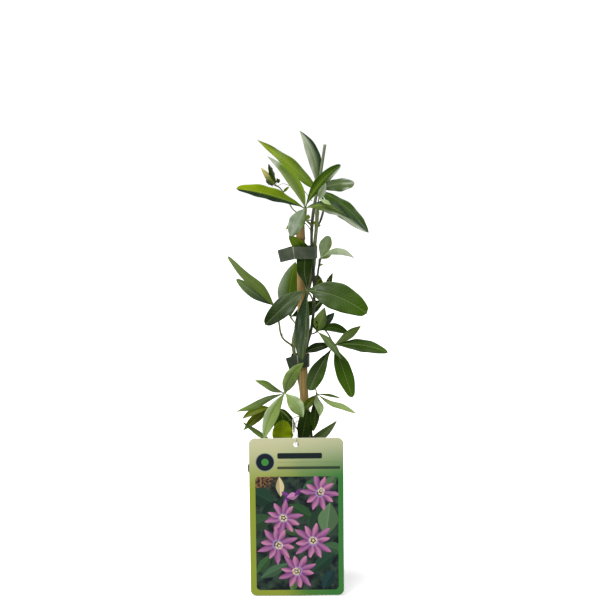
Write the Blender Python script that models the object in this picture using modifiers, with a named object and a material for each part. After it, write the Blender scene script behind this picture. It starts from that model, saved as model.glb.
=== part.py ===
"""A young passion flower climber as a nursery sells it: two twining stems tied to a bamboo cane,
palmate leaves, one flower bud and its tendrils, in a round plastic pot with a printed hang tag.

Sizes are in millimetres and are scaled to metres by MM where a mesh is made. +X is right, +Y is back,
+Z is up, and the origin is the centre of the pot's underside, where it stands.
"""

import math

import bmesh
import bpy
from mathutils import Matrix, Vector

MM = 0.001
GAP = 0.35  # clearance between pieces that touch

# Pot and soil
POT_HEIGHT = 117
POT_RIM_RADIUS = 45.5
POT_RIM_BAND = 6
POT_SHOULDER_RADIUS = 41.5
POT_FOOT_RADIUS = 33
POT_WALL = 1.1
POT_STEPS = 36
DRAIN_RADIUS = 3.5
DRAIN_RING = 22
DRAIN_COUNT = 6
SOIL_TOP = 99
SOIL_MOUND = 3

# Cane
CANE_RADIUS = 4.1
CANE_FOOT = (13.8, 0, 14)
CANE_HEAD = (4.4, 0, 352)
CANE_KNOTS = (150, 236, 318)  # distances of the bamboo's rings above its foot
CANE_KNOT_RISE = 0.5
CANE_BORE_RADIUS = 1.7
CANE_BORE_DEPTH = 12

# Stems and stalks
VINE_RADIUS = 1.3
BUD_STALK_RADIUS = 0.75
TENDRIL_RADIUS = 0.4
LEAF_THICKNESS = 0.45
PETIOLE_WIDTH = 1.2
HUB_RADIUS = 1.9  # where a leaf's lobes run together on its stalk

# Ties
TIE_WIDTH = 11.6
TIE_THICKNESS = 0.45

# Hang tag
TAG_WIDTH = 87
TAG_HEIGHT = 151.5
TAG_CORNER = 5.5
TAG_THICKNESS = 0.6
TAG_HOLE_RADIUS = 2.3
TAG_HOLE_DROP = 6.2  # hole centre below the top edge
TAG_FLOOR_GAP = 0.9
TAG_LEAN = math.radians(4.2)  # the foot of the tag stands nearer the pot than its head
TAG_TURN = math.radians(0.5)
STRING_RADIUS = 0.6

# Each vine is a route of points up the cane, from inside the soil to its tip.
VINES = {
    "vine_long": [
        (18, 3, 86), (18, 3, 104), (15.5, 6, 140), (11.5, 7.2, 173), (9.4, 7.2, 198), (10.2, 7.2, 226),
        (15.5, 6.2, 250), (17.5, 5, 275), (16.8, 3.4, 302), (15.2, 2.6, 321), (15.4, 2.6, 345),
        (18.3, 3.4, 367), (22.8, 6.2, 387), (24.2, 7, 397), (27.6, 6, 420),
    ],
    "vine_short": [
        (5, 5, 86), (5, 5, 104), (3, 7, 140), (5.5, 7.4, 178), (2.5, 7.4, 202), (-1.8, 5.6, 227),
        (-1.2, 5.6, 240), (4.5, 9, 257), (12, 10.5, 283), (17.2, 8.4, 306), (17.8, 6, 322),
        (19.8, 4.2, 345), (20.4, 1.6, 360),
    ],
}

COLOURS = {
    "pot": ((0.035, 0.038, 0.033), 0.5),
    "soil": ((0.045, 0.027, 0.016), 0.95),
    "cane": ((0.46, 0.27, 0.12), 0.55),
    "vine": ((0.10, 0.12, 0.06), 0.6),
    "leaf": ((0.07, 0.16, 0.035), 0.42),
    "leaf_pale": ((0.20, 0.34, 0.13), 0.5),
    "bud": ((0.55, 0.52, 0.24), 0.55),
    "tie": ((0.055, 0.075, 0.06), 0.5),
    "card": ((0.34, 0.42, 0.15), 0.35),
    "string": ((0.82, 0.80, 0.74), 0.85),
}


# ---------------------------------------------------------------- scene and helpers

for old in list(bpy.data.objects):
    bpy.data.objects.remove(old)
PLANT = bpy.data.collections.new("passion_flower_plant")
CUTTERS = bpy.data.collections.new("cutters")
for group in (PLANT, CUTTERS):
    bpy.context.scene.collection.children.link(group)
CUTTERS.hide_render = True


def material(kind):
    """The Principled material of that kind, made once."""
    found = bpy.data.materials.get(kind)
    if found:
        return found
    colour, roughness = COLOURS[kind]
    made = bpy.data.materials.new(kind)
    made.use_nodes = True
    shader = made.node_tree.nodes["Principled BSDF"]
    shader.inputs["Base Color"].default_value = (*colour, 1)
    shader.inputs["Roughness"].default_value = roughness
    shader.inputs["Metallic"].default_value = 0.0
    return made


def add_object(name, data, kind, group=PLANT):
    """A new object with that data and material."""
    obj = bpy.data.objects.new(name, data)
    group.objects.link(obj)
    if kind:
        data.materials.append(material(kind))
    return obj


def mesh_object(name, bm, kind, group=PLANT):
    """A new object from a bmesh in millimetres."""
    bmesh.ops.scale(bm, vec=(MM, MM, MM), verts=bm.verts)
    data = bpy.data.meshes.new(name)
    bm.to_mesh(data)
    bm.free()
    return add_object(name, data, kind, group)


def solidify(obj, thickness, offset=0.0):
    """Gives an open surface its thickness, in millimetres."""
    wall = obj.modifiers.new("thickness", "SOLIDIFY")
    wall.thickness = thickness * MM
    wall.offset = offset
    return wall


def turned(name, profile, steps, kind):
    """A profile of (radius, height) points, listed from the top down its outer side, turned about Z."""
    bm = bmesh.new()
    points = [bm.verts.new((radius, 0, height)) for radius, height in profile]
    for first, second in zip(points, points[1:]):
        bm.edges.new((first, second))
    obj = mesh_object(name, bm, kind)
    lathe = obj.modifiers.new("turn", "SCREW")
    lathe.steps = lathe.render_steps = steps
    lathe.use_merge_vertices = True
    lathe.merge_threshold = 0.00001
    lathe.use_smooth_shade = True
    return obj


def cutter(name, radius, low, high):
    """A hidden cylinder from low to high, in millimetres, that cuts a bore."""
    low, high = Vector(low), Vector(high)
    bm = bmesh.new()
    bmesh.ops.create_cone(
        bm, cap_ends=True, segments=20, radius1=radius, radius2=radius, depth=(high - low).length
    )
    turn = Vector((0, 0, 1)).rotation_difference((high - low).normalized())
    place = Matrix.Translation((low + high) / 2) @ turn.to_matrix().to_4x4()
    bmesh.ops.transform(bm, matrix=place, verts=bm.verts)
    obj = mesh_object(name, bm, None, CUTTERS)
    obj.hide_render = True
    obj.display_type = "WIRE"
    return obj


def cut(obj, tool):
    """Cuts the tool's shape out of obj."""
    bore = obj.modifiers.new("cut_" + tool.name, "BOOLEAN")
    bore.operation = "DIFFERENCE"
    bore.object = tool
    bore.solver = "EXACT"


def smooth_path(points, steps):
    """Points on a smooth curve through the given ones, with that many steps between each two."""
    knots = [Vector(p) for p in points]
    ends = [2 * knots[0] - knots[1], *knots, 2 * knots[-1] - knots[-2]]
    path = []
    for a, b, c, d in zip(ends, ends[1:], ends[2:], ends[3:]):
        for step in range(steps):
            t = step / steps
            path.append(
                0.5 * (2 * b + (c - a) * t + (2 * a - 5 * b + 4 * c - d) * t**2 + (3 * b - a - 3 * c + d) * t**3)
            )
    return [*path, knots[-1]]


def tube(name, path, radius, kind, sides=2, closed=False):
    """A round stem or cord along the path, in millimetres."""
    data = bpy.data.curves.new(name, "CURVE")
    data.dimensions = "3D"
    data.bevel_depth = radius * MM
    data.bevel_resolution = sides
    data.use_fill_caps = not closed
    spline = data.splines.new("POLY")
    spline.points.add(len(path) - 1)
    spline.use_cyclic_u = closed
    for knot, place in zip(spline.points, path):
        knot.co = (*(Vector(place) * MM), 1)
    return add_object(name, data, kind)


# ---------------------------------------------------------------- pot, soil and cane


def make_pot():
    """A thin injection-moulded pot: a rim band, a tapering wall, and a flat foot with drain holes."""
    band_foot = POT_HEIGHT - POT_RIM_BAND
    profile = [
        (POT_RIM_RADIUS - 0.4, POT_HEIGHT),
        (POT_RIM_RADIUS, POT_HEIGHT - 0.6),
        (POT_RIM_RADIUS - 0.3, band_foot),
        (POT_SHOULDER_RADIUS + 0.6, band_foot - 0.8),
        (POT_SHOULDER_RADIUS, band_foot - 5),
        (POT_FOOT_RADIUS, 2),
        (POT_FOOT_RADIUS - 1.2, 0),
        (DRAIN_RING / 2, 0),
        (0, 0),
    ]
    pot = turned("pot", profile, POT_STEPS, "pot")
    solidify(pot, POT_WALL, offset=-1)
    for index in range(DRAIN_COUNT):
        angle = 2 * math.pi * (index + 0.5) / DRAIN_COUNT
        x, y = DRAIN_RING * math.cos(angle), DRAIN_RING * math.sin(angle)
        cut(pot, cutter(f"drain_{index}", DRAIN_RADIUS, (x, y, -3), (x, y, 4)))


def pot_inner_radius(height):
    """The inside radius of the pot's wall at a height."""
    top = POT_HEIGHT - POT_RIM_BAND - 5
    share = (height - 2) / (top - 2)
    return POT_FOOT_RADIUS + (POT_SHOULDER_RADIUS - POT_FOOT_RADIUS) * share - POT_WALL


def cane_at(height):
    """The cane's centre at a height."""
    foot, head = Vector(CANE_FOOT), Vector(CANE_HEAD)
    return foot.lerp(head, (height - foot.z) / (head.z - foot.z))


def make_soil():
    """Potting soil that fills the pot to a little under its rim, with a bore for the cane and each stem."""
    foot = POT_WALL + GAP
    profile = [
        (0, SOIL_TOP + SOIL_MOUND),
        (18, SOIL_TOP + 0.8 * SOIL_MOUND),
        (pot_inner_radius(SOIL_TOP) - GAP - 3, SOIL_TOP + 0.6),
        (pot_inner_radius(SOIL_TOP) - GAP, SOIL_TOP - 1),
        (pot_inner_radius(5) - GAP, 5),
        (pot_inner_radius(5) - GAP - 1.5, foot),
        (0, foot),
    ]
    soil = turned("soil", profile, POT_STEPS, "soil")
    cane_foot = Vector(CANE_FOOT) - Vector((0, 0, GAP))
    cane_bore = cutter("bore_cane", CANE_RADIUS + GAP, cane_foot, cane_at(SOIL_TOP + 20))
    cut(soil, cane_bore)
    for name, route in VINES.items():
        low = Vector(route[0])
        high = Vector(route[1]) + Vector((0, 0, 6))
        cut(soil, cutter("bore_" + name, VINE_RADIUS + 2 * GAP, low - Vector((0, 0, GAP)), high))


def make_cane():
    """A split-free bamboo cane: rings where its joints are, and the hollow of its cut head."""
    foot, head = Vector(CANE_FOOT), Vector(CANE_HEAD)
    length = (head - foot).length
    profile = [
        (0, length - CANE_BORE_DEPTH),
        (CANE_BORE_RADIUS, length - CANE_BORE_DEPTH),
        (CANE_BORE_RADIUS, length),
        (CANE_RADIUS - 0.3, length),
        (CANE_RADIUS, length - 0.5),
    ]
    for knot in reversed(CANE_KNOTS):
        profile += [
            (CANE_RADIUS, knot + 3),
            (CANE_RADIUS + CANE_KNOT_RISE, knot),
            (CANE_RADIUS - 0.15, knot - 1.5),
        ]
    profile += [(CANE_RADIUS, 0), (0, 0)]
    cane = turned("cane", profile, 16, "cane")
    cane.rotation_mode = "QUATERNION"
    cane.rotation_quaternion = Vector((0, 0, 1)).rotation_difference((head - foot).normalized())
    cane.location = foot * MM


# ---------------------------------------------------------------- stems

VINE_PATHS = {name: smooth_path(route, 3) for name, route in VINES.items()}


def vine_at(name, height):
    """The centre of a vine at a height."""
    for low, high in zip(VINE_PATHS[name], VINE_PATHS[name][1:]):
        if low.z <= height <= high.z:
            return low.lerp(high, (height - low.z) / (high.z - low.z))
    return VINE_PATHS[name][-1]


def beside_vine(name, height, toward, half_width):
    """Where a stalk of that half width, coming from toward, stops a gap short of the vine."""
    root = vine_at(name, height)
    along = (vine_at(name, height + 0.5) - vine_at(name, height - 0.5)).normalized()
    way = Vector(toward) - root
    way -= way.dot(along) * along
    return root + way.normalized() * (VINE_RADIUS + GAP + half_width)


def make_vines():
    for name, path in VINE_PATHS.items():
        tube(name, path, VINE_RADIUS, "vine")


# ---------------------------------------------------------------- leaves


def lobe_profile(share, peak, bluntness):
    """Half the width of a lobe, as a share of its widest, at a share of its length.

    peak is where it is widest, and a small bluntness gives it a round tip."""
    stretch = math.log(0.5) / math.log(peak)
    power = 1.1 * (1 - share) + bluntness * share
    return max(0.0, math.sin(math.pi * share**stretch)) ** power


def side_frame(tangent, facing):
    """The blade's normal, as near to facing as the tangent allows, and its side direction."""
    normal = (facing - facing.dot(tangent) * tangent).normalized()
    return normal, tangent.cross(normal)


def lobe_rows(hub, facing, lobe, rows=6):
    """Rows of (left edge, midrib, right edge) up one lobe.

    fold raises its left and right halves, in degrees, halves scales their widths, and sway bends the
    midrib like an S."""
    reach, bow = Vector(lobe["reach"]), Vector(lobe.get("bow", (0, 0, 0)))
    control = reach / 2 + 2 * bow
    start = HUB_RADIUS / reach.length
    turn = Matrix.Rotation(math.radians(lobe.get("roll", 0)), 3, reach.normalized())
    folds = [math.radians(angle) for angle in lobe.get("fold", (12, 12))]
    halves = lobe.get("halves", (1, 1))
    result = []
    for row in range(1, rows + 1):
        u = start + (1 - start) * row / rows
        place = hub + 2 * u * (1 - u) * control + u * u * reach
        tangent = ((1 - u) * control + u * (reach - control)).normalized()
        normal, side = side_frame(tangent, turn @ facing)
        place = place + side * lobe.get("sway", 0) * math.sin(2 * math.pi * u) * math.sin(math.pi * u)
        full = lobe["width"] / 2 * lobe_profile(u, lobe.get("peak", 0.55), lobe.get("round", 0.9))
        edges = []
        for sign, fold, share in ((-1, folds[0], halves[0]), (1, folds[1], halves[1])):
            half = max(full * share, 1.0 if row < rows else 0.35)
            edges.append(place + half * (sign * math.cos(fold) * side + math.sin(fold) * normal))
        result.append((edges[0], place, edges[1]))
    return result


def petiole_rows(hub, facing, route):
    """Rows of (left, middle, right) down the leaf's stalk."""
    path = smooth_path([hub, *route], 4)[1:]
    result = []
    for index, place in enumerate(path):
        before = path[index - 1] if index else hub
        tangent = (place - before).normalized()
        side = side_frame(tangent, facing)[1] * PETIOLE_WIDTH / 2
        result.append((place - side, place, place + side))
    return result


def make_leaf(name, hub, facing, stalk, lobes, kind="leaf"):
    """A palmate leaf: lobes and stalk are strips that meet in a small hub, given their thickness at the end.

    stalk is (vine, height, via points): where on which vine the leaf grows, and the way there."""
    hub, facing = Vector(hub), Vector(facing).normalized()
    vine, height, via = stalk
    last = Vector(via[-1]) if via else hub
    end = beside_vine(vine, height, last, PETIOLE_WIDTH / 2)
    strips = [lobe_rows(hub, facing, lobe) for lobe in lobes]
    strips.append(petiole_rows(hub, facing, [*(Vector(p) for p in via), end]))

    # The strips stand round the hub in the order of their bearing about the facing direction.
    right = facing.orthogonal().normalized()
    up = facing.cross(right)

    def bearing(strip):
        way = strip[0][1] - hub
        return math.atan2(way.dot(up), way.dot(right))

    order = sorted(strips, key=bearing)
    angles = [bearing(strip) for strip in order]
    ring = []
    for index, angle in enumerate(angles):
        after = angles[(index + 1) % len(angles)]
        wide = (after - angle) % (2 * math.pi)
        between = angle + wide / 2
        radius = HUB_RADIUS * (0.75 if wide < 2 else 0.5)
        ring.append(hub + radius * (math.cos(between) * right + math.sin(between) * up))

    bm = bmesh.new()
    stalk_places = set()
    for index, strip in enumerate(order):
        centre = hub.lerp(strip[0][1], 0.45)
        rows = [(ring[index], centre, ring[index - 1]), *strip]
        made = bmesh.ops.create_grid(bm, x_segments=2, y_segments=len(rows) - 1, size=1)["verts"]
        for vert, place in zip(made, (point for row in rows for point in row)):
            vert.co = place
        if strip is strips[-1]:
            stalk_places = {tuple(round(x, 3) for x in point) for row in strip for point in row}
    bmesh.ops.remove_doubles(bm, verts=bm.verts, dist=0.001)
    bmesh.ops.holes_fill(bm, edges=bm.edges, sides=2 * len(order))
    bmesh.ops.recalc_face_normals(bm, faces=bm.faces)
    on_stalk = [
        index for index, vert in enumerate(bm.verts) if tuple(round(x, 3) for x in vert.co) in stalk_places
    ]
    leaf = mesh_object(name, bm, kind)
    leaf.vertex_groups.new(name="stalk").add(on_stalk, 1.0, "REPLACE")
    wall = solidify(leaf, PETIOLE_WIDTH)
    wall.vertex_group = "stalk"
    wall.thickness_vertex_group = LEAF_THICKNESS / PETIOLE_WIDTH


LEAVES = [
    dict(
        name="leaf_crown_front", hub=(9, -18, 361.5), facing=(0.1, -0.85, 0.5),
        stalk=("vine_long", 345, [(10, -12, 351)]),
        lobes=[
            dict(
                reach=(-63, -16, 19), width=20, bow=(0, 0, 3.6), round=0.5, fold=(-10, 4), halves=(0.56, 0.74)
            ),
            dict(reach=(-35, 2, 48), width=11.5, bow=(6.4, -1, 1), peak=0.5, fold=(10, 4)),
            dict(reach=(33, 8, 40), width=11, bow=(-4, 0, 2), peak=0.6, round=0.5, fold=(12, -10)),
            dict(reach=(42, -12, -10), width=12, bow=(0, 0, 7), fold=(10, -30)),
            dict(reach=(-13, -14, -25), width=15, bow=(-1.2, -3, 0), peak=0.5, round=0.55, fold=(-6, 8)),
        ],
    ),
    dict(
        name="leaf_crown_back", hub=(20, 11, 377.5), facing=(0.1, -0.75, 0.6),
        stalk=("vine_short", 344, [(24.5, 12, 371), (27.4, 12, 365), (26, 10, 357), (23.4, 7.6, 348.5)]),
        lobes=[
            dict(reach=(-55, -31, 47), width=17, bow=(1, 0, 2), peak=0.4, fold=(6, -8)),
            dict(reach=(-16, 13, 55), width=14, bow=(5, 0, 2), fold=(20, 8)),
            dict(reach=(35.5, 3, 6), width=15.5, bow=(0, 0, 2), peak=0.6, round=0.45, fold=(-14, -12)),
            dict(
                reach=(48, -25, -39), width=20, bow=(2, 0, 4.8), round=0.7, fold=(-16, -24), halves=(0.74, 1.14)
            ),
        ],
    ),
    dict(
        name="leaf_young_crown", hub=(22, -24, 370.8), facing=(0.3, -0.8, 0.5), kind="leaf_pale",
        stalk=("vine_short", 356, [(21.8, -17, 371.2), (21.2, -9, 367.5), (20.8, -4, 361)]),
        lobes=[
            dict(reach=(6, -3, 14.5), width=7, peak=0.36),
            dict(reach=(10.5, -8, -5.5), width=5),
        ],
    ),
    dict(
        name="leaf_young_right", hub=(23, -4, 313.5), facing=(0.2, -0.9, 0.3), kind="leaf_pale",
        stalk=("vine_long", 293, [(21.5, -1.5, 304), (20.5, 0, 297)]),
        lobes=[
            dict(reach=(8, -4, 22), width=12, peak=0.6, round=0.5, fold=(10, -6)),
            dict(reach=(32, -8, 1), width=7, bow=(0, 0, 7), fold=(-10, -14)),
            dict(reach=(11, 8, 4), width=5),
        ],
    ),
    dict(
        name="leaf_middle_front", hub=(10, -17, 285.5), facing=(0, -0.95, 0.3),
        stalk=("vine_long", 272, [(14, -10, 280)]),
        lobes=[
            dict(
                reach=(-16, 9.8, 50.5), width=16, bow=(6.5, 3.6, 0), sway=-3, peak=0.54, round=0.6, fold=(-3, -6)
            ),
            dict(reach=(56, -16, -20), width=26, bow=(0, 0, 5), peak=0.52, round=0.42, fold=(8, -4)),
            dict(reach=(-38, -14, -31), width=18, bow=(2, 0, 4), peak=0.6, round=0.45, fold=(6, 4)),
            dict(
                reach=(-4, -6, -65), width=21, bow=(1.5, -3, 0), round=0.5, fold=(10, 4), halves=(0.36, 1)
            ),
        ],
    ),
    dict(
        name="leaf_middle_back", hub=(-5, 9, 257.5), facing=(-0.1, -0.9, 0.3),
        stalk=("vine_short", 250, []),
        lobes=[
            dict(reach=(5, 5, 52), width=24, bow=(-3, 0, 0), peak=0.46, fold=(-12, 6)),
            dict(reach=(32, 7, 14), width=14, bow=(0, 3, -1)),
        ],
    ),
    dict(
        name="leaf_left", hub=(-20, -6, 269.5), facing=(-0.2, -0.8, 0.5), kind="leaf_pale",
        stalk=("vine_short", 231, [(-15.6, -6, 254), (-14.3, -5, 245), (-11.5, -3, 238)]),
        lobes=[
            dict(
                reach=(-43, -16, 48), width=9, bow=(1, 0, 0), sway=1.6, peak=0.42, round=0.5, fold=(-6, 6)
            ),
            dict(reach=(-36, 14, 24), width=11, bow=(0, 0, -1), round=0.6, fold=(6, 6)),
        ],
    ),
    dict(
        name="leaf_right", hub=(36, -8, 232.5), facing=(0.2, -0.85, 0.5),
        stalk=("vine_long", 254, [(30, -2, 243.5), (22, 3, 251)]),
        lobes=[
            dict(reach=(50, -14, -5), width=13, bow=(0, 0, 4), round=0.6, fold=(-8, -20)),
            dict(reach=(17, -16, -47), width=16, bow=(0, 0, 1.6), peak=0.56, round=0.5, fold=(8, -6)),
            dict(reach=(-23, -18, -40), width=15, bow=(-2, 0, 0), peak=0.66, round=0.4, fold=(6, 6)),
            dict(reach=(-29, -2, -7), width=9, bow=(0, 0, 2)),
            dict(reach=(25, -6, 19), width=8.5, fold=(-10, -10)),
        ],
    ),
    dict(
        name="leaf_right_small", hub=(20, -8, 245.5), facing=(0.1, -0.9, 0.4), kind="leaf_pale",
        stalk=("vine_long", 242, [(17, -3, 243)]),
        lobes=[
            dict(reach=(7.5, 4, 22.5), width=12, peak=0.4, fold=(8, -10)),
            dict(reach=(31, 7, -4), width=9, bow=(0, 2, 5)),
            dict(reach=(23, -18, -24), width=7.5, bow=(0, 0, 3), fold=(-8, -16)),
            dict(reach=(17, 18, 16), width=8),
            dict(reach=(-4, 2, 13), width=6, round=0.6),
        ],
    ),
    dict(
        name="leaf_right_slender", hub=(25, 7.5, 273.5), facing=(0, -0.9, 0.3),
        stalk=("vine_long", 268, []),
        lobes=[
            dict(reach=(10, 2, 26), width=6),
            dict(reach=(-5, 0, 24), width=9, peak=0.62, round=0.45),
        ],
    ),
    dict(
        name="leaf_low_left", hub=(-10, -22, 189.5), facing=(0, -0.9, 0.4), kind="leaf_pale",
        stalk=("vine_short", 206, [(-4, -10, 195), (-1, -2, 201)]),
        lobes=[
            dict(reach=(17.5, -4, 29), width=13, bow=(-1.8, 0, 2), peak=0.42),
            dict(reach=(-28, 8, 11), width=7, bow=(0, 0, -0.4), sway=-1),
            dict(reach=(-45, -4, -17), width=7, sway=1, fold=(-8, -8)),
            dict(reach=(-19, -14, -41), width=13, bow=(-3, 0, 0), peak=0.5),
            dict(reach=(17, -12, -21), width=14, bow=(1, 0, 1)),
        ],
    ),
    dict(
        name="leaf_low_left_back", hub=(-22, -4, 172.5), facing=(0, -0.85, 0.5),
        stalk=("vine_short", 150, [(-14, 0, 169), (-5, 2, 160)]),
        lobes=[
            dict(reach=(-28, -8, -9), width=8, bow=(0, 0, 3)),
            dict(reach=(-27, -2, -21), width=9, bow=(0, 0, 2)),
        ],
    ),
    dict(
        name="leaf_base_bright", hub=(-14, -17, 135.5), facing=(0, -0.95, 0.3), kind="leaf_pale",
        stalk=("vine_short", 116, [(-9, -9, 128), (-2, -2, 121)]),
        lobes=[
            dict(reach=(3, -4, 28), width=19, round=0.45, fold=(5, 5)),
            dict(reach=(-36, 4, 25), width=5),
        ],
    ),
    dict(
        name="leaf_base_dark", hub=(-5, 8, 135.5), facing=(-0.1, -0.9, 0.3),
        stalk=("vine_short", 122, [(-3.5, 7, 129)]),
        lobes=[
            dict(reach=(-10, 0, 34), width=20.6, round=0.5),
        ],
    ),
    dict(
        name="leaf_base_right", hub=(5, -9.5, 137.5), facing=(0, -0.95, 0.2),
        stalk=("vine_long", 120, [(13, -8, 130), (18, -3, 124)]),
        lobes=[
            dict(reach=(6, 1, 34), width=18, round=0.5, halves=(0.75, 1)),
            dict(reach=(34, 4, 23), width=9, bow=(0, 0, -4)),
        ],
    ),
    dict(
        name="leaf_low_right", hub=(20, -10, 186.5), facing=(0.1, -0.85, 0.4), kind="leaf_pale",
        stalk=("vine_long", 193, [(19, -5, 190), (16.5, 2.5, 191.8)]),
        lobes=[
            dict(reach=(37, -14, -16), width=6, bow=(0, 0, -1), sway=1.2, fold=(-8, -8)),
            dict(reach=(23, 12, -6), width=2.8, bow=(0, 0, 1)),
            dict(reach=(3.2, -10, -19), width=8, sway=1),
            dict(reach=(-14, -5, -15), width=8),
            dict(reach=(-3, -3, -35), width=9),
        ],
    ),
    dict(
        name="leaf_tiny", hub=(-2, -6, 349), facing=(0, -0.9, 0.4), kind="leaf_pale",
        stalk=("vine_long", 340, [(4, -6.5, 350), (11, -3, 345)]),
        lobes=[
            dict(reach=(-7, -1, -8), width=3.4),
        ],
    ),
]


def make_leaves():
    for leaf in LEAVES:
        make_leaf(**leaf)


# ---------------------------------------------------------------- bud and tendrils

BUD_ROOT = Vector((-19.5, -4, 382.8))
BUD_TIP = Vector((-32.2, -7, 399))
BUD_RADIUS = 3.6
# Each bract: its letter, the angle where it stands round the bud, its length, its width and its lean.
BRACTS = [("a", 70, 11, 6, 1.5), ("b", 190, 9, 5.4, 1), ("c", 280, 20, 8, 6.4)]


def make_bud():
    """A closed flower bud: pointed, round at its foot, on a stalk that leaves the long vine."""
    axis = BUD_TIP - BUD_ROOT
    length = axis.length
    outline = [(0, 1), (0.2, 0.93), (0.52, 0.75), (0.88, 0.5), (1, 0.3), (0.86, 0.12), (0.45, 0.02), (0, 0)]
    profile = [(BUD_RADIUS * radius, length * height) for radius, height in outline]
    bud = turned("flower_bud", profile, 14, "bud")
    bud.rotation_mode = "QUATERNION"
    bud.rotation_quaternion = Vector((0, 0, 1)).rotation_difference(axis.normalized())
    bud.location = BUD_ROOT * MM
    foot = BUD_ROOT - axis.normalized() * GAP
    route = [foot, (-13, -3.5, 378), (-4, -1, 362), (1, -6, 357), (8, -6, 351)]
    end = beside_vine("vine_long", 349, route[-1], BUD_STALK_RADIUS)
    tube("bud_stalk", smooth_path([*route, end], 3), BUD_STALK_RADIUS, "vine", sides=1)


def make_bract(name, around, length, width, lean):
    """One of the three leafy bracts round the bud's foot: a cupped blade that clears the bud."""
    axis = (BUD_TIP - BUD_ROOT).normalized()
    right = axis.orthogonal().normalized()
    out = Matrix.Rotation(math.radians(around), 3, axis) @ right
    side = axis.cross(out)
    rows = 5
    bm = bmesh.new()
    verts = bmesh.ops.create_grid(bm, x_segments=2, y_segments=rows, size=1)["verts"]
    for index, vert in enumerate(verts):
        row, column = divmod(index, 3)
        share = row / rows
        half = max(width / 2 * math.sin(math.pi * (0.1 + 0.88 * share)), 0.3)
        away = BUD_RADIUS + 0.9 + lean * share**1.5
        centre = BUD_ROOT + axis * (0.6 + length * share) + out * away
        cupped = 0.35 * half if column != 1 else 0
        vert.co = centre + side * half * (column - 1) - out * cupped
    bmesh.ops.recalc_face_normals(bm, faces=bm.faces)
    bract = mesh_object(name, bm, "leaf")
    solidify(bract, LEAF_THICKNESS, offset=0)


def make_tendrils():
    """Thin curling holdfasts that grow beside the leaf stalks."""
    upper = [(15.5, 5.5, 367), (6, 4, 378.5), (-5, 1, 381.5), (-10, -4, 383.5), (-13, -6, 383.5), (-16.5, -5, 381.5)]
    middle = [(19.3, 2.4, 289), (21.5, 0.5, 292.5), (24.5, -1.5, 295), (28.5, -2.5, 295.4), (31.6, -2, 293.4), (32, -0.5, 291)]
    tube("tendril_upper", smooth_path(upper, 4), TENDRIL_RADIUS, "vine", sides=1)
    tube("tendril_middle", smooth_path(middle, 4), TENDRIL_RADIUS, "vine", sides=1)


# ---------------------------------------------------------------- ties, tag and string


def make_tie(name, height, route):
    """A strip of binding tape round the cane and stems, its two ends pressed together as a tail.

    route is (x, y, drop) points: where the strip runs, and how far below height its middle is there."""
    path = smooth_path(route, 3)
    bm = bmesh.new()
    verts = bmesh.ops.create_grid(bm, x_segments=1, y_segments=len(path) - 1, size=1)["verts"]
    for index, vert in enumerate(verts):
        row, column = divmod(index, 2)
        x, y, drop = path[row]
        vert.co = (x, y, height - drop + TIE_WIDTH * (column - 0.5))
    bmesh.ops.recalc_face_normals(bm, faces=bm.faces)
    tie = mesh_object(name, bm, "tie")
    solidify(tie, TIE_THICKNESS)


def make_ties():
    make_tie(
        "tie_upper",
        319.5,
        [
            (-15.5, -9.3, 3.4), (-8, -8.9, 1.6), (-2.2, -8.6, 0.3), (-1, -9.5, 0), (3, -9.5, 0), (8, -9, 0),
            (13, -9.1, 0), (17, -6.8, 0), (19.8, -1.5, 0), (20.4, 4.5, 0), (18.6, 9.4, 0), (12, 9, 0), (4, 6.4, 0),
            (-1.2, 1, 0), (-5, -3.2, 0.3), (-8.5, -6.8, 1.2), (-11.5, -8.2, 2), (-15, -8.7, 3),
        ],
    )
    make_tie(
        "tie_lower",
        217,
        [
            (-7.6, -7.0, 2.6), (-3, -6.2, 1.1), (1.6, -5.6, 0.2), (2.7, -6.4, 0), (5, -6.4, 0), (8, -6.2, 0),
            (11.6, -4.4, 0), (12.9, 0, 0), (13, 6.6, 0), (10, 10.2, 0), (2, 9.8, 0), (-3, 6.5, 0),
            (-3.6, 1, 0), (-4.4, -4.6, 1.4), (-7.2, -6.0, 2.6),
        ],
    )


TAG_FRONT_AT_RIM = -POT_RIM_RADIUS - GAP - TAG_THICKNESS


def tag_y(height):
    """The y of the tag's middle plane at a height: it leans on the rim's front."""
    return -POT_RIM_RADIUS - GAP - TAG_THICKNESS / 2 - (height - POT_HEIGHT) * math.tan(TAG_LEAN)


def tag_x(height):
    """The x of the tag's middle line at a height."""
    return 1.2 - (height - TAG_HEIGHT / 2) * math.tan(TAG_TURN)


def arc(cx, cy, radius, first, last, steps):
    """Points on an arc, its angles in degrees."""
    angles = [math.radians(first + (last - first) * step / steps) for step in range(steps + 1)]
    return [(cx + radius * math.cos(a), cy + radius * math.sin(a)) for a in angles]


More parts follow.
